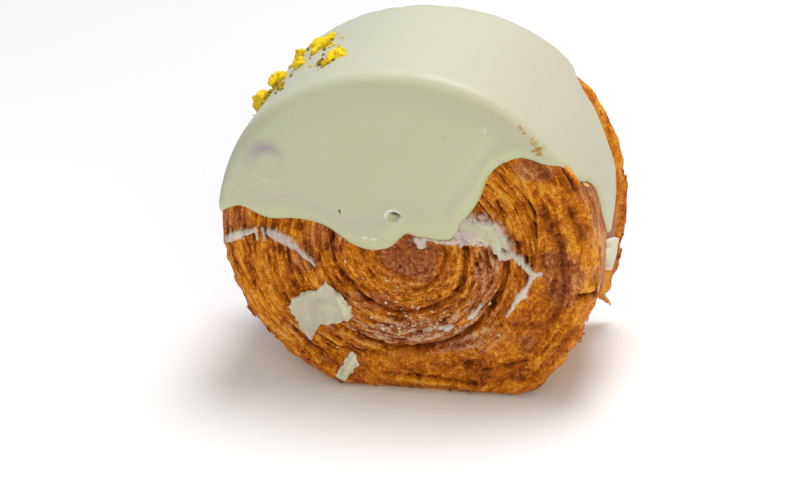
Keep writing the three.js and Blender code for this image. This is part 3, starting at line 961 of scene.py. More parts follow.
# Marks on the front of the icing: x and z from the middle of the face, half width and half height
BUBBLE = (-2.3, 10.4, 2.2, 1.9)
SLOT = (-1.7, 10.8, 1.5, 0.5)
DOT = (-16.8, 10.9, 0.3, 0.65)
# Painted highlights: near white marks, each over a tiny bump, standing for glints on the icing
PAINTED_HIGHLIGHTS = ((-10.4, 3.4, 0.9, 0.3), (-8.0, 3.0, 0.8, 0.4), (-18.3, 35.2, 0.7, 0.4), (22.7, 36.4, 0.6, 0.4))
DENT = (-35.3, 24.5)
DENT_RADIUS = 5.2


def bubble_marks(x, z):
    """Height of the burst bubble, and a painted highlight on its upper left edge."""
    far = spot(x, z, *BUBBLE)
    height = 0.45 * hump(far - 1, 0.3) - 0.9 * smooth_step(0.85 - far, 0, 0.5)
    lit = hump(far - 0.8, 0.45) * smooth_step((z - BUBBLE[1]) - 0.5 * (x - BUBBLE[0]), -0.2, 1.4)
    return height, lit


def dent_marks(x, z):
    """Height of the dent on the left with the ridge beside it, and its shade."""
    dx, dz = x - DENT[0], z - DENT[1]
    far = np.hypot(dx, dz)
    side = np.arctan2(dz, -dx)
    ridge = hump(far - DENT_RADIUS, 0.9) * hump(side, 1.1)
    hollow = 1 - smooth_step(far, 0.4 * DENT_RADIUS, DENT_RADIUS)
    return 0.5 * ridge - 0.5 * hollow, hump(far - 0.8 * DENT_RADIUS, 1.8) * hump(side - 1.3, 1.2)


def icing_marks(x, z):
    """Heights of the marks on the front of the icing, and the strength of their colours by name."""
    # The slot in the bubble and the small dot are recesses coloured dark brown
    slot, dot = (hump(spot(x, z, *mark), 1, 4) for mark in (SLOT, DOT))
    painted_highlight = np.max([hump(spot(x, z, *mark), 1, 4) for mark in PAINTED_HIGHLIGHTS], axis=0)
    bubble, lit = bubble_marks(x, z)
    dent, shade = dent_marks(x, z)
    height = bubble + dent - 0.8 * slot - 0.6 * dot + 0.12 * painted_highlight
    # The painted highlights take in the bubble's upper left edge
    return height, {"dark_spot": np.maximum(slot, dot), "shade": shade, "painted_highlight": np.maximum(painted_highlight, 0.9 * lit)}


def icing_base(angle, along, reach, face):
    """Height of the crust under the icing: sunk on the flaky face, swollen on the right of the rim."""
    turn = unwound(angle)
    behind = skin_profile(along)[0]
    smooth = np.where(along < SKIN_LENGTH / 2, smooth_share(turn, np.minimum(along, FACE_REACH)), 0)
    sunk = ICING_SINK * face * (1 - smooth) * (1 - smooth_step(reach, 0, SINK_REACH))
    swollen = 0.4 * swell(FRONT_SWELL, turn, behind) + swell(SIDE_SWELL, turn, behind)
    return swollen * (1 - face) - sunk - ICING_BITE


def icing_thickness(angle, along, reach, waves):
    """Thickness of the icing away from its edge: thin on the left and right, thick over the bend."""
    half = np.minimum(along, SKIN_LENGTH - along)
    left = smooth_step(-np.cos(angle), 0.75, 0.97)
    right = smooth_step(np.cos(angle), 0.6, 0.85) * (1 - smooth_step(reach, 0, RIGHT_REACH))
    bend = np.sin(2 * np.clip((half - FACE_REACH) / EDGE_ROUND, 0, math.pi / 2)) ** 2
    coat = (ICING_THICKNESS + WAVE_HEIGHT * waves) * (1 - LEFT_THIN * left) * (1 - RIGHT_THIN * right)
    return coat + BEND_FILL * bend


def icing_shape(angle, along, reach):
    """Height of the icing's top and underside over the skin, with the strength of its colours by name."""
    x, y, z = np.moveaxis(skin(angle, along), -1, 0)
    z = z - CENTRE_HEIGHT
    face = smooth_step(FACE_REACH - np.minimum(along, SKIN_LENGTH - along), -1, 3)
    front = hump(skin_profile(along)[0], 1.2, 4)
    valley = hump(reach - VALLEY_REACH, VALLEY_WIDTH)
    bead = BEAD_HEIGHT * hump(reach - BEAD_REACH, BEAD_WIDTH)
    base = icing_base(angle, along, reach, face)
    thickness = icing_thickness(angle, along, reach, swing(101, 2, x / 16, y / 16, z / 16))
    thickness = thickness + face * (bead - VALLEY_DEPTH * valley)
    marks, colors = icing_marks(x, z)
    colors = {name: front * strength for name, strength in colors.items()}
    # Painted shade on the face just below the front bend
    colors["under_bend_shade"] = hump(FACE_REACH - along - 1.0, UNDER_BEND_WIDTH)
    colors["blush"] = (1 - face) * smooth_step(np.cos(angle), 0.1, 0.6)
    # Painted shade in the shallow hollow behind the bead along the drip edge, in patches
    colors["valley"] = face * valley * smooth_step(rough_noise(107, 2, x / 9, z / 9), 0.3, 0.6)
    colors["reach"] = np.minimum(reach / COLOR_REACH, 1)
    rounded = np.sqrt(1 - (1 - np.clip(reach / ICING_ROUND, 0, 1)) ** 2)
    under = base - ICING_UNDERSIDE * smooth_step(reach, 0, 1)
    return base + rounded * thickness + front * marks, under, colors


def make_icing():
    near, far = icing_edges()
    grid, reach = lens_grid(near, far, spread(ICING_ROWS), ICING_EDGE, ICING_COLUMNS)
    top, under, colors = icing_shape(*unflat(grid), reach)
    obj = coat_object("icing_coat", grid, top, under, near(np.array([0.0, 1.0])))
    for name, strength in colors.items():
        coat_attribute(obj, name, strength)
    return obj


# Chips of icing

# Size and depth of the teeth of a chip's ragged edge
TEETH = ((1.8, 1.5), (0.6, 0.7))
CHIP_LEAST = 0.1
CHIP_LIFT = 0.15
CHIP_FOLLOW = 0.6
CHIP_UNDERSIDE = 0.6
CHIP_FRINGE = (0.3, 1.0)


def make_chip(name, lower, upper, seed, ridge, rest):
    """A thin broken piece of icing on the crust between two ragged edges.
    Its ridge, of two places and a half width, is thick; rest is its height over the smooth skin."""
    lower, upper = by_length(lower), by_length(upper)
    grid, reach = lens_grid(lower, upper, spread([(1.0, CHIP_ROWS)]), CHIP_EDGE, CHIP_COLUMNS)
    for size, depth in TEETH:
        teeth = [swing(seed + i, 2, grid[..., 0] / size, grid[..., 1] / size) for i in (0, 7)]
        grid = grid + depth * np.stack(teeth, -1)
    waves = swing(seed + 3, 3, grid[..., 0] / 4, grid[..., 1] / 4)
    thick = hump(path_distance(grid[..., 0], grid[..., 1], ridge[:-1]), ridge[-1])
    body = rest + CHIP_THICKNESS * (0.5 + 1.2 * waves + 0.6 * thick)
    lain = np.maximum(crust(*unflat(grid))[0], rest - CHIP_FOLLOW) + CHIP_LIFT
    top = lain + np.maximum(body - lain, CHIP_LEAST) * smooth_step(reach, 0, 0.5)
    under = lain - CHIP_UNDERSIDE * smooth_step(reach, 0, 0.3)
    obj = coat_object(name, grid, top, under, lower(np.array([0.0, 1.0])))
    coat_attribute(obj, "fringe", 1 - smooth_step(reach, *CHIP_FRINGE))
    coat_attribute(obj, "thick", thick)
    return obj


def make_large_chip():
    left, right = (-33.9, -19.7), (-15.2, -21.5)
    lower = places_on(on_front, left, (-30.5, -26), (-27.7, -29.8), (-24.5, -24.6), (-19.8, -24.2), right)
    upper = places_on(on_front, left, (-30, -15.4), (-25.4, -14.4), (-22.3, -11.6), (-16.9, -17), right)
    ridge = (on_front(-18.6, -15.6), on_front(-17.4, -20.4), 1.0)
    return make_chip("large_chip", lower, upper, 201, ridge, -0.5)


def make_small_chip():
    top, foot = (-15.6, -32.3), (-19.2, -42)
    left = places_on(on_front, top, (-18.9, -36), (-20.6, -40), foot)
    right = places_on(on_front, top, (-13.7, -35.3), (-16.2, -38.8), foot)
    ridge = (on_front(-15.6, -34.4), on_front(-18.4, -39.4), 0.8)
    return make_chip("small_chip", left, right, 221, ridge, -0.4)


def make_rim_chip():
    top, foot = (-3.7, 17.6), (-15.8, 21)
    near = places_on(on_rim, top, (-8.5, 16.2), (-12.8, 17.2), foot)
    far = places_on(on_rim, top, (-6.2, 22.5), (-9, 28.5), (-11.5, 31.5), (-14.2, 28), foot)
    ridge = (on_rim(-8, 21), on_rim(-12, 25), 6.0)
    return make_chip("rim_chip", near, far, 241, ridge, 1.9)


# Nuts and specks

NUTS = (
    # degrees round the roll, distance behind the front face, length, breadth over length, turn, tone
    (142, 17.5, 5.6, 0.8, 60, 0.9), (138.5, 26, 5.8, 0.75, 75, 0.95), (136.2, 24.4, 3.2, 0.7, 20, 0.9),
    (140.6, 21.5, 2.2, 0.6, 60, 0.25), (131.5, 13, 2.4, 0.6, 0, 0.35), (128.6, 23.4, 3.9, 0.85, 10, 0.85),
    (123.4, 30, 5.6, 0.7, 40, 1.0), (121.2, 33, 4.0, 0.55, 50, 0.9), (124.2, 27.6, 3.0, 0.7, 60, 0.95),
    (120.2, 28, 2.4, 0.6, 30, 0.4), (113, 15, 6.2, 0.5, 41, 0.95), (117.2, 14, 2.6, 0.6, 60, 0.05),
    (115.4, 11.6, 2.6, 0.6, 30, 0.45), (134, 37, 3.6, 0.7, 0, 0.9), (150, 33, 4.2, 0.7, 0, 0.9),
)
NUT_HALF = 0.55
NUT_HEIGHT = 0.85
NUT_REST = 0.3
NUT_BITS = 14
BIT_SIZES = (0.15, 0.34)
BIT_PLACE = 0.92
BIT_TONES = (0.6, 1.0)
NUT_CRUMBS = 70
CRUMB_SIZES = (0.2, 0.7)
CRUMB_SHAPE = np.array([1.2, 0.8, 0.6])
CRUMB_SPREAD = 2.6
CRUMB_LIFT = 0.05

# Specks: two of three in a crowd, by middle and spread, and the others between two ends
SPECKS = 56
SPECK_SIZES = (0.14, 0.42)
SPECK_LIFT = 0.1
CROWD_DEGREES = (-85, 28)
CROWD_RADIUS = (25, 3.2)
LOOSE_DEGREES = (-175, -15)
LOOSE_RADIUS = (9, 40)
LUMP_TURN = 25


def unit_ball(subdivisions):
    """Points and triangles of a ball of radius one."""
    ball = bmesh.new()
    bmesh.ops.create_icosphere(ball, subdivisions=subdivisions, radius=1)
    ball.verts.ensure_lookup_table()
    points = np.array([v.co for v in ball.verts])
    faces = np.array([[v.index for v in f.verts] for f in ball.faces])
    ball.free()
    return points, faces


def random_turn(draw):
    """A rotation matrix drawn at random."""
    matrix, upper = np.linalg.qr(draw.normal(size=(3, 3)))
    matrix = matrix * np.sign(np.diag(upper))
    return matrix if np.linalg.det(matrix) > 0 else -matrix


def chopped_lump(ball, size, draw, cuts):
    """A crumbly lump with flat cut faces; size is its three half lengths."""
    seed = int(draw.integers(1000))
    points = ball * (0.62 + 0.8 * rough_noise(seed, 3, *(ball * 1.5 + 9).T))[:, None]
    for _ in range(cuts):
        normal = draw.normal(size=3)
        normal /= np.linalg.norm(normal)
        over = np.maximum(points @ normal - draw.uniform(0.45, 0.75), 0)
        points = points - 0.92 * over[:, None] * normal
    points = points * (0.87 + 0.26 * rough_noise(seed + 5, 2, *(ball * 4 + 9).T))[:, None]
    return points * size


def joined_lumps(name, lumps):
    """One object from many lumps, each with its points, faces and tone."""
    points, faces, tones, count = [], [], [], 0
    for lump, lump_faces, tone in lumps:
        points.append(lump)
        faces += (lump_faces + count).tolist()
        tones.append(np.full(len(lump), tone))
        count += len(lump)
    obj = mesh_object(name, np.concatenate(points), faces)
    add_attribute(obj, "tone", np.concatenate(tones))
    return obj


def set_down(lump, angle, along, height, turn):
    """Moves a lump to a place off the skin, its length round the roll, then turned by degrees."""
    out = outward(angle, along)[0]
    side = np.array([math.sin(angle[0]), 0.0, -math.cos(angle[0])])
    back = np.cross(out, side)
    cosine, sine = math.cos(math.radians(turn)), math.sin(math.radians(turn))
    axes = np.stack([cosine * side + sine * back, cosine * back - sine * side, out])
    return lump @ axes + raised(angle, along, height)[0]


def on_icing(lump, degrees, behind, height, turn):
    """Sets a lump down on the icing of the rim."""
    return set_down(lump, *unflat(on_rim(degrees, behind)[None]), np.array([height]), turn)


def make_nuts():
    """Each nut is a chopped lump with smaller bits breaking off round it, and crumbs lie between them."""
    draw = np.random.default_rng(5)
    ball, faces = unit_ball(4)
    small_ball, small_faces = unit_ball(2)
    lumps = []
    for degrees, behind, length, breadth, turn, tone in NUTS:
        half = NUT_HALF * length * np.array([1, breadth, NUT_HEIGHT * breadth])
        nut = chopped_lump(ball, half, draw, 3)
        rest = ICING_THICKNESS + NUT_REST * half[2]
        lumps.append((on_icing(nut, degrees, behind, rest, turn), faces, tone))
        for _ in range(NUT_BITS):
            bit_half = draw.uniform(*BIT_SIZES) * half[[0, 1, 1]]
            bit = chopped_lump(small_ball, bit_half, draw, 3) @ random_turn(draw).T
            bit = on_icing(bit + BIT_PLACE * nut[draw.integers(len(nut))], degrees, behind, rest, turn)
            lumps.append((bit, small_faces, tone * draw.uniform(*BIT_TONES)))
    for _ in range(NUT_CRUMBS):
        degrees, behind, *_ = NUTS[draw.integers(len(NUTS))]
        crumb = chopped_lump(small_ball, draw.uniform(*CRUMB_SIZES) * CRUMB_SHAPE, draw, 4)
        place = (degrees + draw.normal(0, CRUMB_SPREAD), behind + draw.normal(0, CRUMB_SPREAD))
        crumb = on_icing(crumb, *place, ICING_THICKNESS + CRUMB_LIFT, draw.uniform(0, 180))
        lumps.append((crumb, small_faces, draw.uniform(0.0, 1.0)))
    return joined_lumps("chopped_nuts", lumps)


def make_specks():
    """Crumbs of icing caught on the front face, mostly below the spiral's middle."""
    draw = np.random.default_rng(8)
    ball, faces = unit_ball(2)
    lumps = []
    for i in range(SPECKS):
        crowd = i % 3 > 0
        degrees = draw.normal(*CROWD_DEGREES) if crowd else draw.uniform(*LOOSE_DEGREES)
        radius = draw.normal(*CROWD_RADIUS) if crowd else draw.uniform(*LOOSE_RADIUS)
        angle, along = np.radians(np.array([degrees % 360])), np.array([radius])
        height = crust(angle, along)[0] + SPECK_LIFT
        size = draw.uniform(*SPECK_SIZES) * np.array([draw.uniform(0.9, 1.6), draw.uniform(0.6, 1.0), 0.7])
        lump = chopped_lump(ball, size, draw, 2)
        lumps.append((set_down(lump, angle, along, height, draw.normal(0, LUMP_TURN)), faces, 0.0))
    return joined_lumps("icing_specks", lumps)


# Flakes of crust

FLAKE_STRETCHES = (
    # degrees from and to, distance behind the front face from and to, how many, greatest length
    (-34, 20, 1.0, 4.0, 12, 2.2),
    (-118, -62, 0.2, 2.0, 12, 2.6),
    (-156, -138, 0.2, 2.4, 10, 2.4),
    (-26, 34, 42.0, 44.0, 7, 3.0),
    (-100, 20, 43.0, 44.6, 8, 3.0),
)
TORN_FLAKES = (
    # degrees, distance behind the front face, length, breadth, turn and tip in degrees
    (19.6, 10.4, 2.6, 1.2, 50, 15),
    (-11.0, 3.2, 4.0, 2.2, 50, 10),
    (-38.5, 43.2, 9.0, 3.6, 20, 75),
)
TORN_LIFT = 0.3
TORN_TONE = 1.4
FLAKE_LIFT = 0.05
FLAKE_THICKNESS = 0.35
FLAKE_DROOP = 0.03
FLAKE_LENGTHS = (0.4, 1)
FLAKE_BREADTHS = (0.25, 0.5)
FLAKE_TONES = (0.3, 0.8)


def flake(ball, length, breadth, draw):
    """A thin leaf of crust with a jagged outline: one end lies in the crust and the other lifts off it."""
    stretched = ball * np.array([2.6, 2.6, 0.3]) + 9
    jagged = 0.45 + 1.1 * rough_noise(int(draw.integers(1000)), 4, *stretched.T)
    points = ball * np.array([length / 2, breadth / 2, FLAKE_THICKNESS / 2]) * jagged[:, None]
    points[:, 2] += draw.uniform(-0.2, 0.2) * points[:, 0] + draw.uniform(-0.1, 0.1) * points[:, 1]
    points[:, 2] -= FLAKE_DROOP * points[:, 0] ** 2
    return points


def edge_along(behind):
    """Length along the skin at a distance behind the front face, on the rim or either rounded edge."""
    if behind < EDGE_ROUND:
        return FACE_REACH + EDGE_ROUND * math.acos(1 - behind / EDGE_ROUND)
    if behind > WIDTH - EDGE_ROUND:
        return BACK_START - EDGE_ROUND * math.acos(1 - (WIDTH - behind) / EDGE_ROUND)
    return RIM_START + behind - EDGE_ROUND


def on_crust(lump, degrees, behind, lift, turn):
    """Sets a flat lump down on the crust, its length round the roll, then turned."""
    angle, along = np.radians(np.array([degrees % 360])), np.array([edge_along(behind)])
    points = set_down(lump, angle, along, crust(angle, along)[0] + lift, turn)
    points[:, 2] = np.maximum(points[:, 2], 0)
    return points


def make_flakes():
    draw = np.random.default_rng(12)
    ball, faces = unit_ball(3)
    lumps = []
    for degrees, behind, length, breadth, turn, tip in TORN_FLAKES:
        leaf = flake(ball, length, breadth, draw) @ np.array(Matrix.Rotation(math.radians(tip), 3, "Y"))
        lumps.append((on_crust(leaf, degrees, behind, TORN_LIFT, turn), faces, TORN_TONE))
    for first, last, near, far, count, longest in FLAKE_STRETCHES:
        for _ in range(count):
            length = longest * draw.uniform(*FLAKE_LENGTHS)
            leaf = flake(ball, length, length * draw.uniform(*FLAKE_BREADTHS), draw)
            place = (draw.uniform(first, last), draw.uniform(near, far), FLAKE_LIFT)
            leaf = on_crust(leaf, *place, draw.normal(0, LUMP_TURN))
            lumps.append((leaf, faces, draw.uniform(*FLAKE_TONES)))
    return joined_lumps("crust_flakes", lumps)


# Materials

def srgb(red, green, blue):
    """A colour from its screen values, 0 to 255."""
    shares = np.array([red, green, blue]) / 255
    linear = np.where(shares <= 0.04045, shares / 12.92, ((shares + 0.055) / 1.055) ** 2.4)
    return (*linear.tolist(), 1.0)


class Wire:
    """A node's output, which adds, subtracts and multiplies like a number."""

    def __init__(self, nodes, socket):
        self.nodes = nodes
        self.socket = socket

    def __add__(self, other):
        return self.nodes.math("ADD", self, other)

    def __sub__(self, other):
        return self.nodes.math("SUBTRACT", self, other)

    def __rsub__(self, other):
        return self.nodes.math("SUBTRACT", other, self)

    def __mul__(self, other):
        return self.nodes.math("MULTIPLY", self, other)


class Nodes:
    """The nodes of one material; sizes are in millimetres and colours in screen values."""

    def __init__(self, name):
        self.material = bpy.data.materials.new(name)
        self.material.use_nodes = True
        self.tree = self.material.node_tree
        self.shader = self.tree.nodes["Principled BSDF"]

    def new(self, kind, output, inputs, **settings):
        """A node's output, from its settings and its inputs by name or number."""
        node = self.tree.nodes.new(kind)
        for key, value in settings.items():
            setattr(node, key, value)
        for key, source in inputs.items():
            self.join(source, node.inputs[key])
        return Wire(self, node.outputs[output])

    def join(self, source, socket):
        if isinstance(source, Wire):
            self.tree.links.new(source.socket, socket)
        else:
            socket.default_value = source

    def value(self, name):
        return self.new("ShaderNodeAttribute", "Fac", {}, attribute_name=name)

    def place(self):
        return self.new("ShaderNodeTexCoord", "Object", {})

    def texture(self, place, scale, detail, roughness):
        inputs = {"Vector": place, "Scale": scale, "Detail": detail, "Roughness": roughness}
        return self.new("ShaderNodeTexNoise", "Fac", inputs)

    def noise(self, size, detail=3.0, roughness=0.5):
        """Noise with bumps about this many millimetres across."""
        return self.texture(self.place(), 1 / (size * MM), detail, roughness)

    def lines(self, detail, roughness, shrink=(1, 1, 1)):
        """Noise over the grain that the mesh carries, made smaller along some axes for longer lines."""
        grain = self.new("ShaderNodeAttribute", "Vector", {}, attribute_name="grain")
        scaled = self.new("ShaderNodeVectorMath", "Vector", {0: grain, 1: shrink}, operation="MULTIPLY")
        return self.texture(scaled, 1.0, detail, roughness)

    def near(self, place, radius, ragged):
        """1 within a radius of a place, with an edge made ragged by a noise."""
        ends = {0: self.place(), 1: np.asarray(place) * MM}
        far = self.new("ShaderNodeVectorMath", "Value", ends, operation="DISTANCE")
        far = far + (ragged - 0.5) * (2.5 * radius * MM)
        return 1.0 - self.between(far, 0.1 * radius * MM, radius * MM)

    def between(self, source, low, high):
        """0 below low, 1 above high and smooth between them."""
        inputs = {"Value": source, "From Min": low, "From Max": high}
        return self.new("ShaderNodeMapRange", "Result", inputs, interpolation_type="SMOOTHSTEP")

    def contour(self, source, level, width):
        """1 along the thin line where a source passes a level."""
        away = self.math("ABSOLUTE", source - level, 0.0)
        return 1.0 - self.between(away, 0.0, width)

    def math(self, operation, a, b, clamp=False):
        return self.new("ShaderNodeMath", 0, {0: a, 1: b}, operation=operation, use_clamp=clamp)

    def mix(self, share, low, high):
        """Two colours mixed, each a wire or screen values."""
        low, high = (color if isinstance(color, Wire) else srgb(*color) for color in (low, high))
        return self.new("ShaderNodeMix", "Result", {"Factor": share, "A": low, "B": high}, data_type="RGBA")

    def ramp(self, source, stops):
        """A colour from a value, by stops of a position and screen values."""
        color = self.new("ShaderNodeValToRGB", "Color", {"Fac": source})
        elements = color.socket.node.color_ramp.elements
        while len(elements) < len(stops):
            elements.new(0.5)
        for element, (position, screen) in zip(elements, stops):
            element.position = position
            element.color = srgb(*screen)
        return color

    def bump(self, height, depth):
        """Bump from a height of 0 to 1, of this depth in millimetres."""
        normal = self.new("ShaderNodeBump", "Normal", {"Distance": depth * MM, "Height": height})
        self.join(normal, self.shader.inputs["Normal"])

    def set(self, **inputs):
        for key, value in inputs.items():
            self.join(value, self.shader.inputs[key.replace("_", " ")])


# Colours of the crust from burnt to pale: golden, and plum brown in its patches
GOLD = (
    (0.0, (52, 16, 3)),
    (0.25, (114, 48, 7)),
    (0.5, (170, 85, 13)),
    (0.72, (206, 116, 15)),
    (1.0, (237, 164, 54)),
)
PLUM = (
    (0.0, (52, 18, 9)),
    (0.25, (108, 48, 22)),
    (0.5, (154, 80, 44)),
    (0.72, (184, 108, 66)),
    (1.0, (218, 164, 120)),
)
LONG_STRANDS = (1.0, 0.3, 1.0)
LONG_BLISTERS = (0.2, 0.85, 0.2)


def blister_tone(nodes, grains, smooth):
    """Browning of the smooth skin: blisters with light rims."""
    blisters = nodes.lines(5, 0.68, LONG_BLISTERS)
    risen = nodes.between(blisters, 0.45, 0.55) - 0.5
    rims = nodes.contour(blisters, 0.555, 0.025)
    return (risen * 0.14 + rims * 0.18 - grains * 0.02 - 0.03) * smooth


def strand_tone(nodes, flecks, flaky):
    """Browning of the flaky layers: light and dark strands, broken up by flecks."""
    strands = nodes.lines(1, 0.5, LONG_STRANDS)
    light, dark = (nodes.contour(strands, level, 0.06) for level in (0.57, 0.44))
    return (light * 0.26 - dark * 0.3) * nodes.between(flecks, 0.42, 0.56) * flaky


def frosted(nodes, baked, patches, flecks, lines, texture):
    """The baked colour with flecks of icing caught on it and films of icing over it."""
    caught = nodes.between(flecks * 0.5 + lines * 0.7 - nodes.value("crevice_shade") * 0.2, 0.58, 0.66)
    flecked = nodes.mix(caught * nodes.value("frost") * 0.62, baked, (226, 212, 194))
    smear = nodes.value("smear")
    film = nodes.between(smear + texture, 0.12, 0.92) * 0.95
    pale = nodes.mix(nodes.between(patches, 0.35, 0.65), (206, 195, 196), (228, 222, 214))
    return nodes.mix(film, flecked, nodes.mix(nodes.between(smear, 0.9, 1.0), pale, (206, 206, 166)))


def crust_material():
    nodes = Nodes("baked_crust")
    patches, crumbs = nodes.noise(5, 4), nodes.noise(0.45, 5)
    flecks, lines = nodes.noise(1.2, 6, 0.78), nodes.lines(6, 0.75)
    flaky = nodes.value("flaky")
    streaks = nodes.between(lines, 0.42, 0.58) - 0.5
    grains = nodes.between(flecks, 0.41, 0.59) - 0.5
    tone = nodes.value("tone") * 0.4 + 0.597 + (patches - 0.5) * 0.16 + grains * 0.24
    tone = tone + streaks * (flaky * 0.16 + 0.08) + (nodes.between(crumbs, 0.4, 0.6) - 0.5) * 0.16
    tone = tone + blister_tone(nodes, grains, 1.0 - flaky) + strand_tone(nodes, flecks, flaky)
    # Painted shade: the crust is darkened in its grooves, slits, pits and cracks
    tone = nodes.math("SUBTRACT", tone, nodes.value("crevice_shade") * 0.31, clamp=True)
    baked = nodes.mix(nodes.value("plum"), nodes.ramp(tone, GOLD), nodes.ramp(tone, PLUM))
    nodes.set(
        Base_Color=frosted(nodes, baked, patches, flecks, lines, streaks * 0.3 + grains * 0.25),
        Roughness=flecks * 0.25 + 0.3 + flaky * 0.08,
        Specular_IOR_Level=0.26,
        Specular_Tint=(1.0, 0.66, 0.3, 1.0),
    )
    nodes.bump(crumbs * 0.5 + flecks * 0.6 + lines * flaky * 0.75, 0.6)
    return nodes.material


RUST_MARKS = (
    # degrees round the roll, length along the skin, radius, strength
    (49.6, 48.8, 0.8, 0.8),
    (48.6, 48.8, 0.9, 0.9),
    (47.6, 48.6, 0.8, 0.7),
    (44.4, 48.6, 0.9, 0.5),
    (42.8, 48.4, 1.4, 0.6),
    (40.8, 48.2, 2.2, 1.0),
    (39.2, 48.0, 1.4, 0.6),
    (44.8, 84.4, 0.6, 0.6),
    (32.5, 59.6, 0.6, 0.6),
    (28.8, 83.2, 0.5, 0.5),
    (96.0, 46.0, 0.5, 0.3),
)
MARK_HEIGHT = 2.0


def rust_marks(nodes):
    """How far the icing is covered by fine specks and by the brown marks."""
    specks = nodes.between(nodes.noise(1.4, 2), 0.7, 0.76) * 0.3
    ragged = nodes.noise(1.0, 4)
    for degrees, along, radius, strength in RUST_MARKS:
        place = raised(np.array(math.radians(degrees)), np.array(along), np.array(MARK_HEIGHT))
        specks = nodes.math("MAXIMUM", specks, nodes.near(place, radius, ragged) * strength)
    return specks


def icing_material():
    nodes = Nodes("green_icing")
    body = nodes.mix(nodes.noise(14, 3), (192, 194, 170), (197, 198, 175))
    body = nodes.mix(nodes.value("reach"), (194, 200, 160), body)
    # Painted shade in the hollow behind the bead
    body = nodes.mix(nodes.value("valley") * 0.5, body, (188, 184, 172))
    # Painted shade just below the front bend
    body = nodes.mix(nodes.value("under_bend_shade") * 0.3, body, (176, 182, 158))
    body = nodes.mix(nodes.value("blush") * 0.5, body, (192, 184, 166))
    body = nodes.mix(nodes.value("shade"), body, (160, 150, 158))
    body = nodes.mix(rust_marks(nodes), body, (170, 122, 16))
    # Painted highlights on the icing's small bumps and the bubble's upper left edge
    body = nodes.mix(nodes.value("painted_highlight") * 0.7, body, (236, 238, 230))
    nodes.set(
        # The bubble's slot and the small dot coloured dark brown
        Base_Color=nodes.mix(nodes.value("dark_spot"), body, (96, 68, 36)),
        Roughness=nodes.noise(3, 3) * 0.12 + 0.42,
        Subsurface_Weight=0.25,
        Subsurface_Scale=0.002,
        Subsurface_Radius=(1.0, 0.9, 0.5),
        Specular_IOR_Level=0.4,
    )
    nodes.bump(nodes.noise(2.2, 3), 0.03)
    return nodes.material


def chip_material():
    nodes = Nodes("broken_icing")
    clouds = nodes.between(nodes.noise(2.4, 4), 0.3, 0.7)
    body = nodes.mix(clouds, (186, 176, 160), (198, 192, 174))
    body = nodes.mix(nodes.value("thick"), body, (212, 212, 182))
    body = nodes.mix(nodes.value("fringe"), body, nodes.mix(clouds, (206, 200, 182), (228, 224, 212)))
    nodes.set(Base_Color=body, Roughness=0.45, Subsurface_Weight=0.15, Subsurface_Scale=0.002)
    nodes.bump(nodes.noise(0.9, 4), 0.15)
    return nodes.material


def nut_material():
    nodes = Nodes("chopped_nut")
    tone = nodes.value("tone") * 0.8 - 0.1 + nodes.noise(1.4, 4) * 0.5
    stops = ((0.0, (92, 62, 22)), (0.3, (150, 132, 22)), (0.6, (224, 184, 10)), (1.0, (244, 212, 28)))
    nodes.set(Base_Color=nodes.ramp(tone, stops), Roughness=0.6, Specular_IOR_Level=0.2)
    nodes.bump(nodes.noise(0.6, 4), 0.12)
    return nodes.material


def flake_material():
    nodes = Nodes("crust_flake")
    tone = nodes.value("tone") * 0.5 - 0.25 + nodes.between(nodes.noise(0.8, 5), 0.3, 0.7) * 0.7
    stops = ((0.0, (104, 48, 10)), (0.4, (164, 90, 22)), (0.7, (194, 122, 40)), (1.0, (226, 176, 100)))
    nodes.set(
        Base_Color=nodes.ramp(tone, stops),
        Roughness=0.45,
        Specular_IOR_Level=0.3,
        Specular_Tint=(1.0, 0.7, 0.35, 1.0),
    )
    nodes.bump(nodes.noise(0.6, 5), 0.2)
    return nodes.material


def speck_material():
    nodes = Nodes("icing_crumb")
    nodes.set(Base_Color=nodes.mix(nodes.noise(1.5), (200, 182, 162), (234, 226, 212)), Roughness=0.55)
    return nodes.material


# Floor, light and camera

def make_floor():
    bpy.ops.mesh.primitive_plane_add(size=FLOOR_SIZE)
    floor = bpy.context.object
    floor.name = "floor"
    nodes = Nodes("pale_floor")
    nodes.set(Base_Color=nodes.mix(nodes.noise(400), (244, 243, 244), (248, 247, 248)), Roughness=0.6)
    floor.data.materials.append(nodes.material)


def add_light(name, place, size, watts, color):
    data = bpy.data.lights.new(name, "AREA")
    data.shape = "DISK"
    data.size = size
    data.energy = watts
    data.color = color
    light = bpy.data.objects.new(name, data)
    light.location = place
    light.rotation_euler = (Vector(LIGHT_TARGET) - Vector(place)).to_track_quat("-Z", "Y").to_euler()
    bpy.context.scene.collection.objects.link(light)


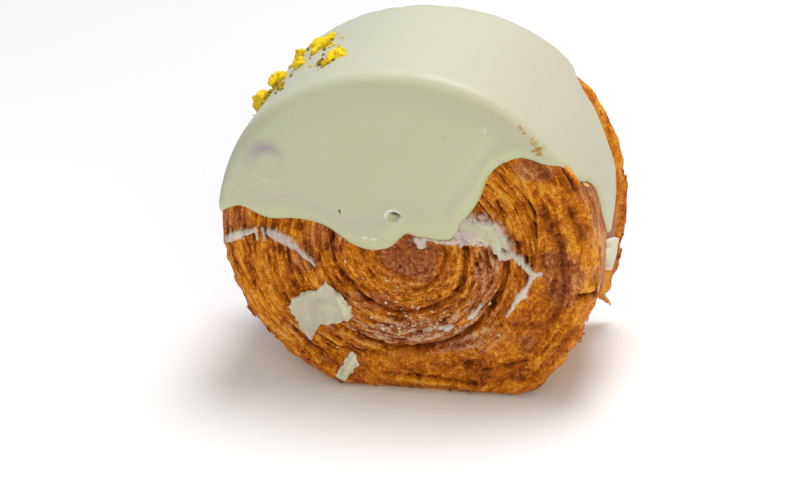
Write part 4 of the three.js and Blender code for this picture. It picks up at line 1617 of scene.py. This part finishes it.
def make_lights():
    for light in LIGHTS:
        add_light(*light)
    world = bpy.data.worlds.new("soft_room")
    bpy.context.scene.world = world
    world.use_nodes = True
    background = world.node_tree.nodes["Background"]
    background.inputs["Color"].default_value = (1.0, 1.0, 1.0, 1.0)
    background.inputs["Strength"].default_value = ROOM_STRENGTH


def make_camera():
    data = bpy.data.cameras.new("photo_camera")
    data.sensor_width = SENSOR_WIDTH
    data.lens = SENSOR_WIDTH * FOCAL_PIXELS / PHOTO_WIDTH
    data.clip_start = 0.01
    data.clip_end = 20
    camera = bpy.data.objects.new("photo_camera", data)
    back = Vector((
        math.sin(VIEW_AZIMUTH) * math.cos(VIEW_ELEVATION),
        -math.cos(VIEW_AZIMUTH) * math.cos(VIEW_ELEVATION),
        math.sin(VIEW_ELEVATION),
    ))
    level = Vector((0, 0, 1)).cross(back).normalized()
    upright = back.cross(level)
    right = math.cos(VIEW_ROLL) * level + math.sin(VIEW_ROLL) * upright
    up = -math.sin(VIEW_ROLL) * level + math.cos(VIEW_ROLL) * upright
    place = (Vector(VIEW_TARGET) + back * VIEW_DISTANCE) * MM
    camera.matrix_world = Matrix.Translation(place) @ Matrix((right, up, back)).transposed().to_4x4()
    bpy.context.scene.collection.objects.link(camera)
    bpy.context.scene.camera = camera
    bpy.context.scene.view_settings.view_transform = "Standard"


# The finished pieces

def add_piece(obj, material, slot, *nodes):
    """Gives a piece its material and its place on the roll."""
    obj.data.materials.append(material)
    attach(obj, "root")
    if nodes:
        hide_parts(*nodes)


chip_finish = chip_material()
add_piece(make_crust(), crust_material(), "crust", "croissant")
add_piece(make_icing(), icing_material(), "icing", "icing")
add_piece(make_nuts(), nut_material(), "nuts", "icing")
add_piece(make_large_chip(), chip_finish, "icing", "icing_chip_large")
add_piece(make_small_chip(), chip_finish, "icing", "icing_chip_small")
add_piece(make_rim_chip(), chip_finish, "icing", "icing_chip_rim")
add_piece(make_specks(), speck_material(), "icing")
add_piece(make_flakes(), flake_material(), "crust")
make_floor()
make_lights()
make_camera()
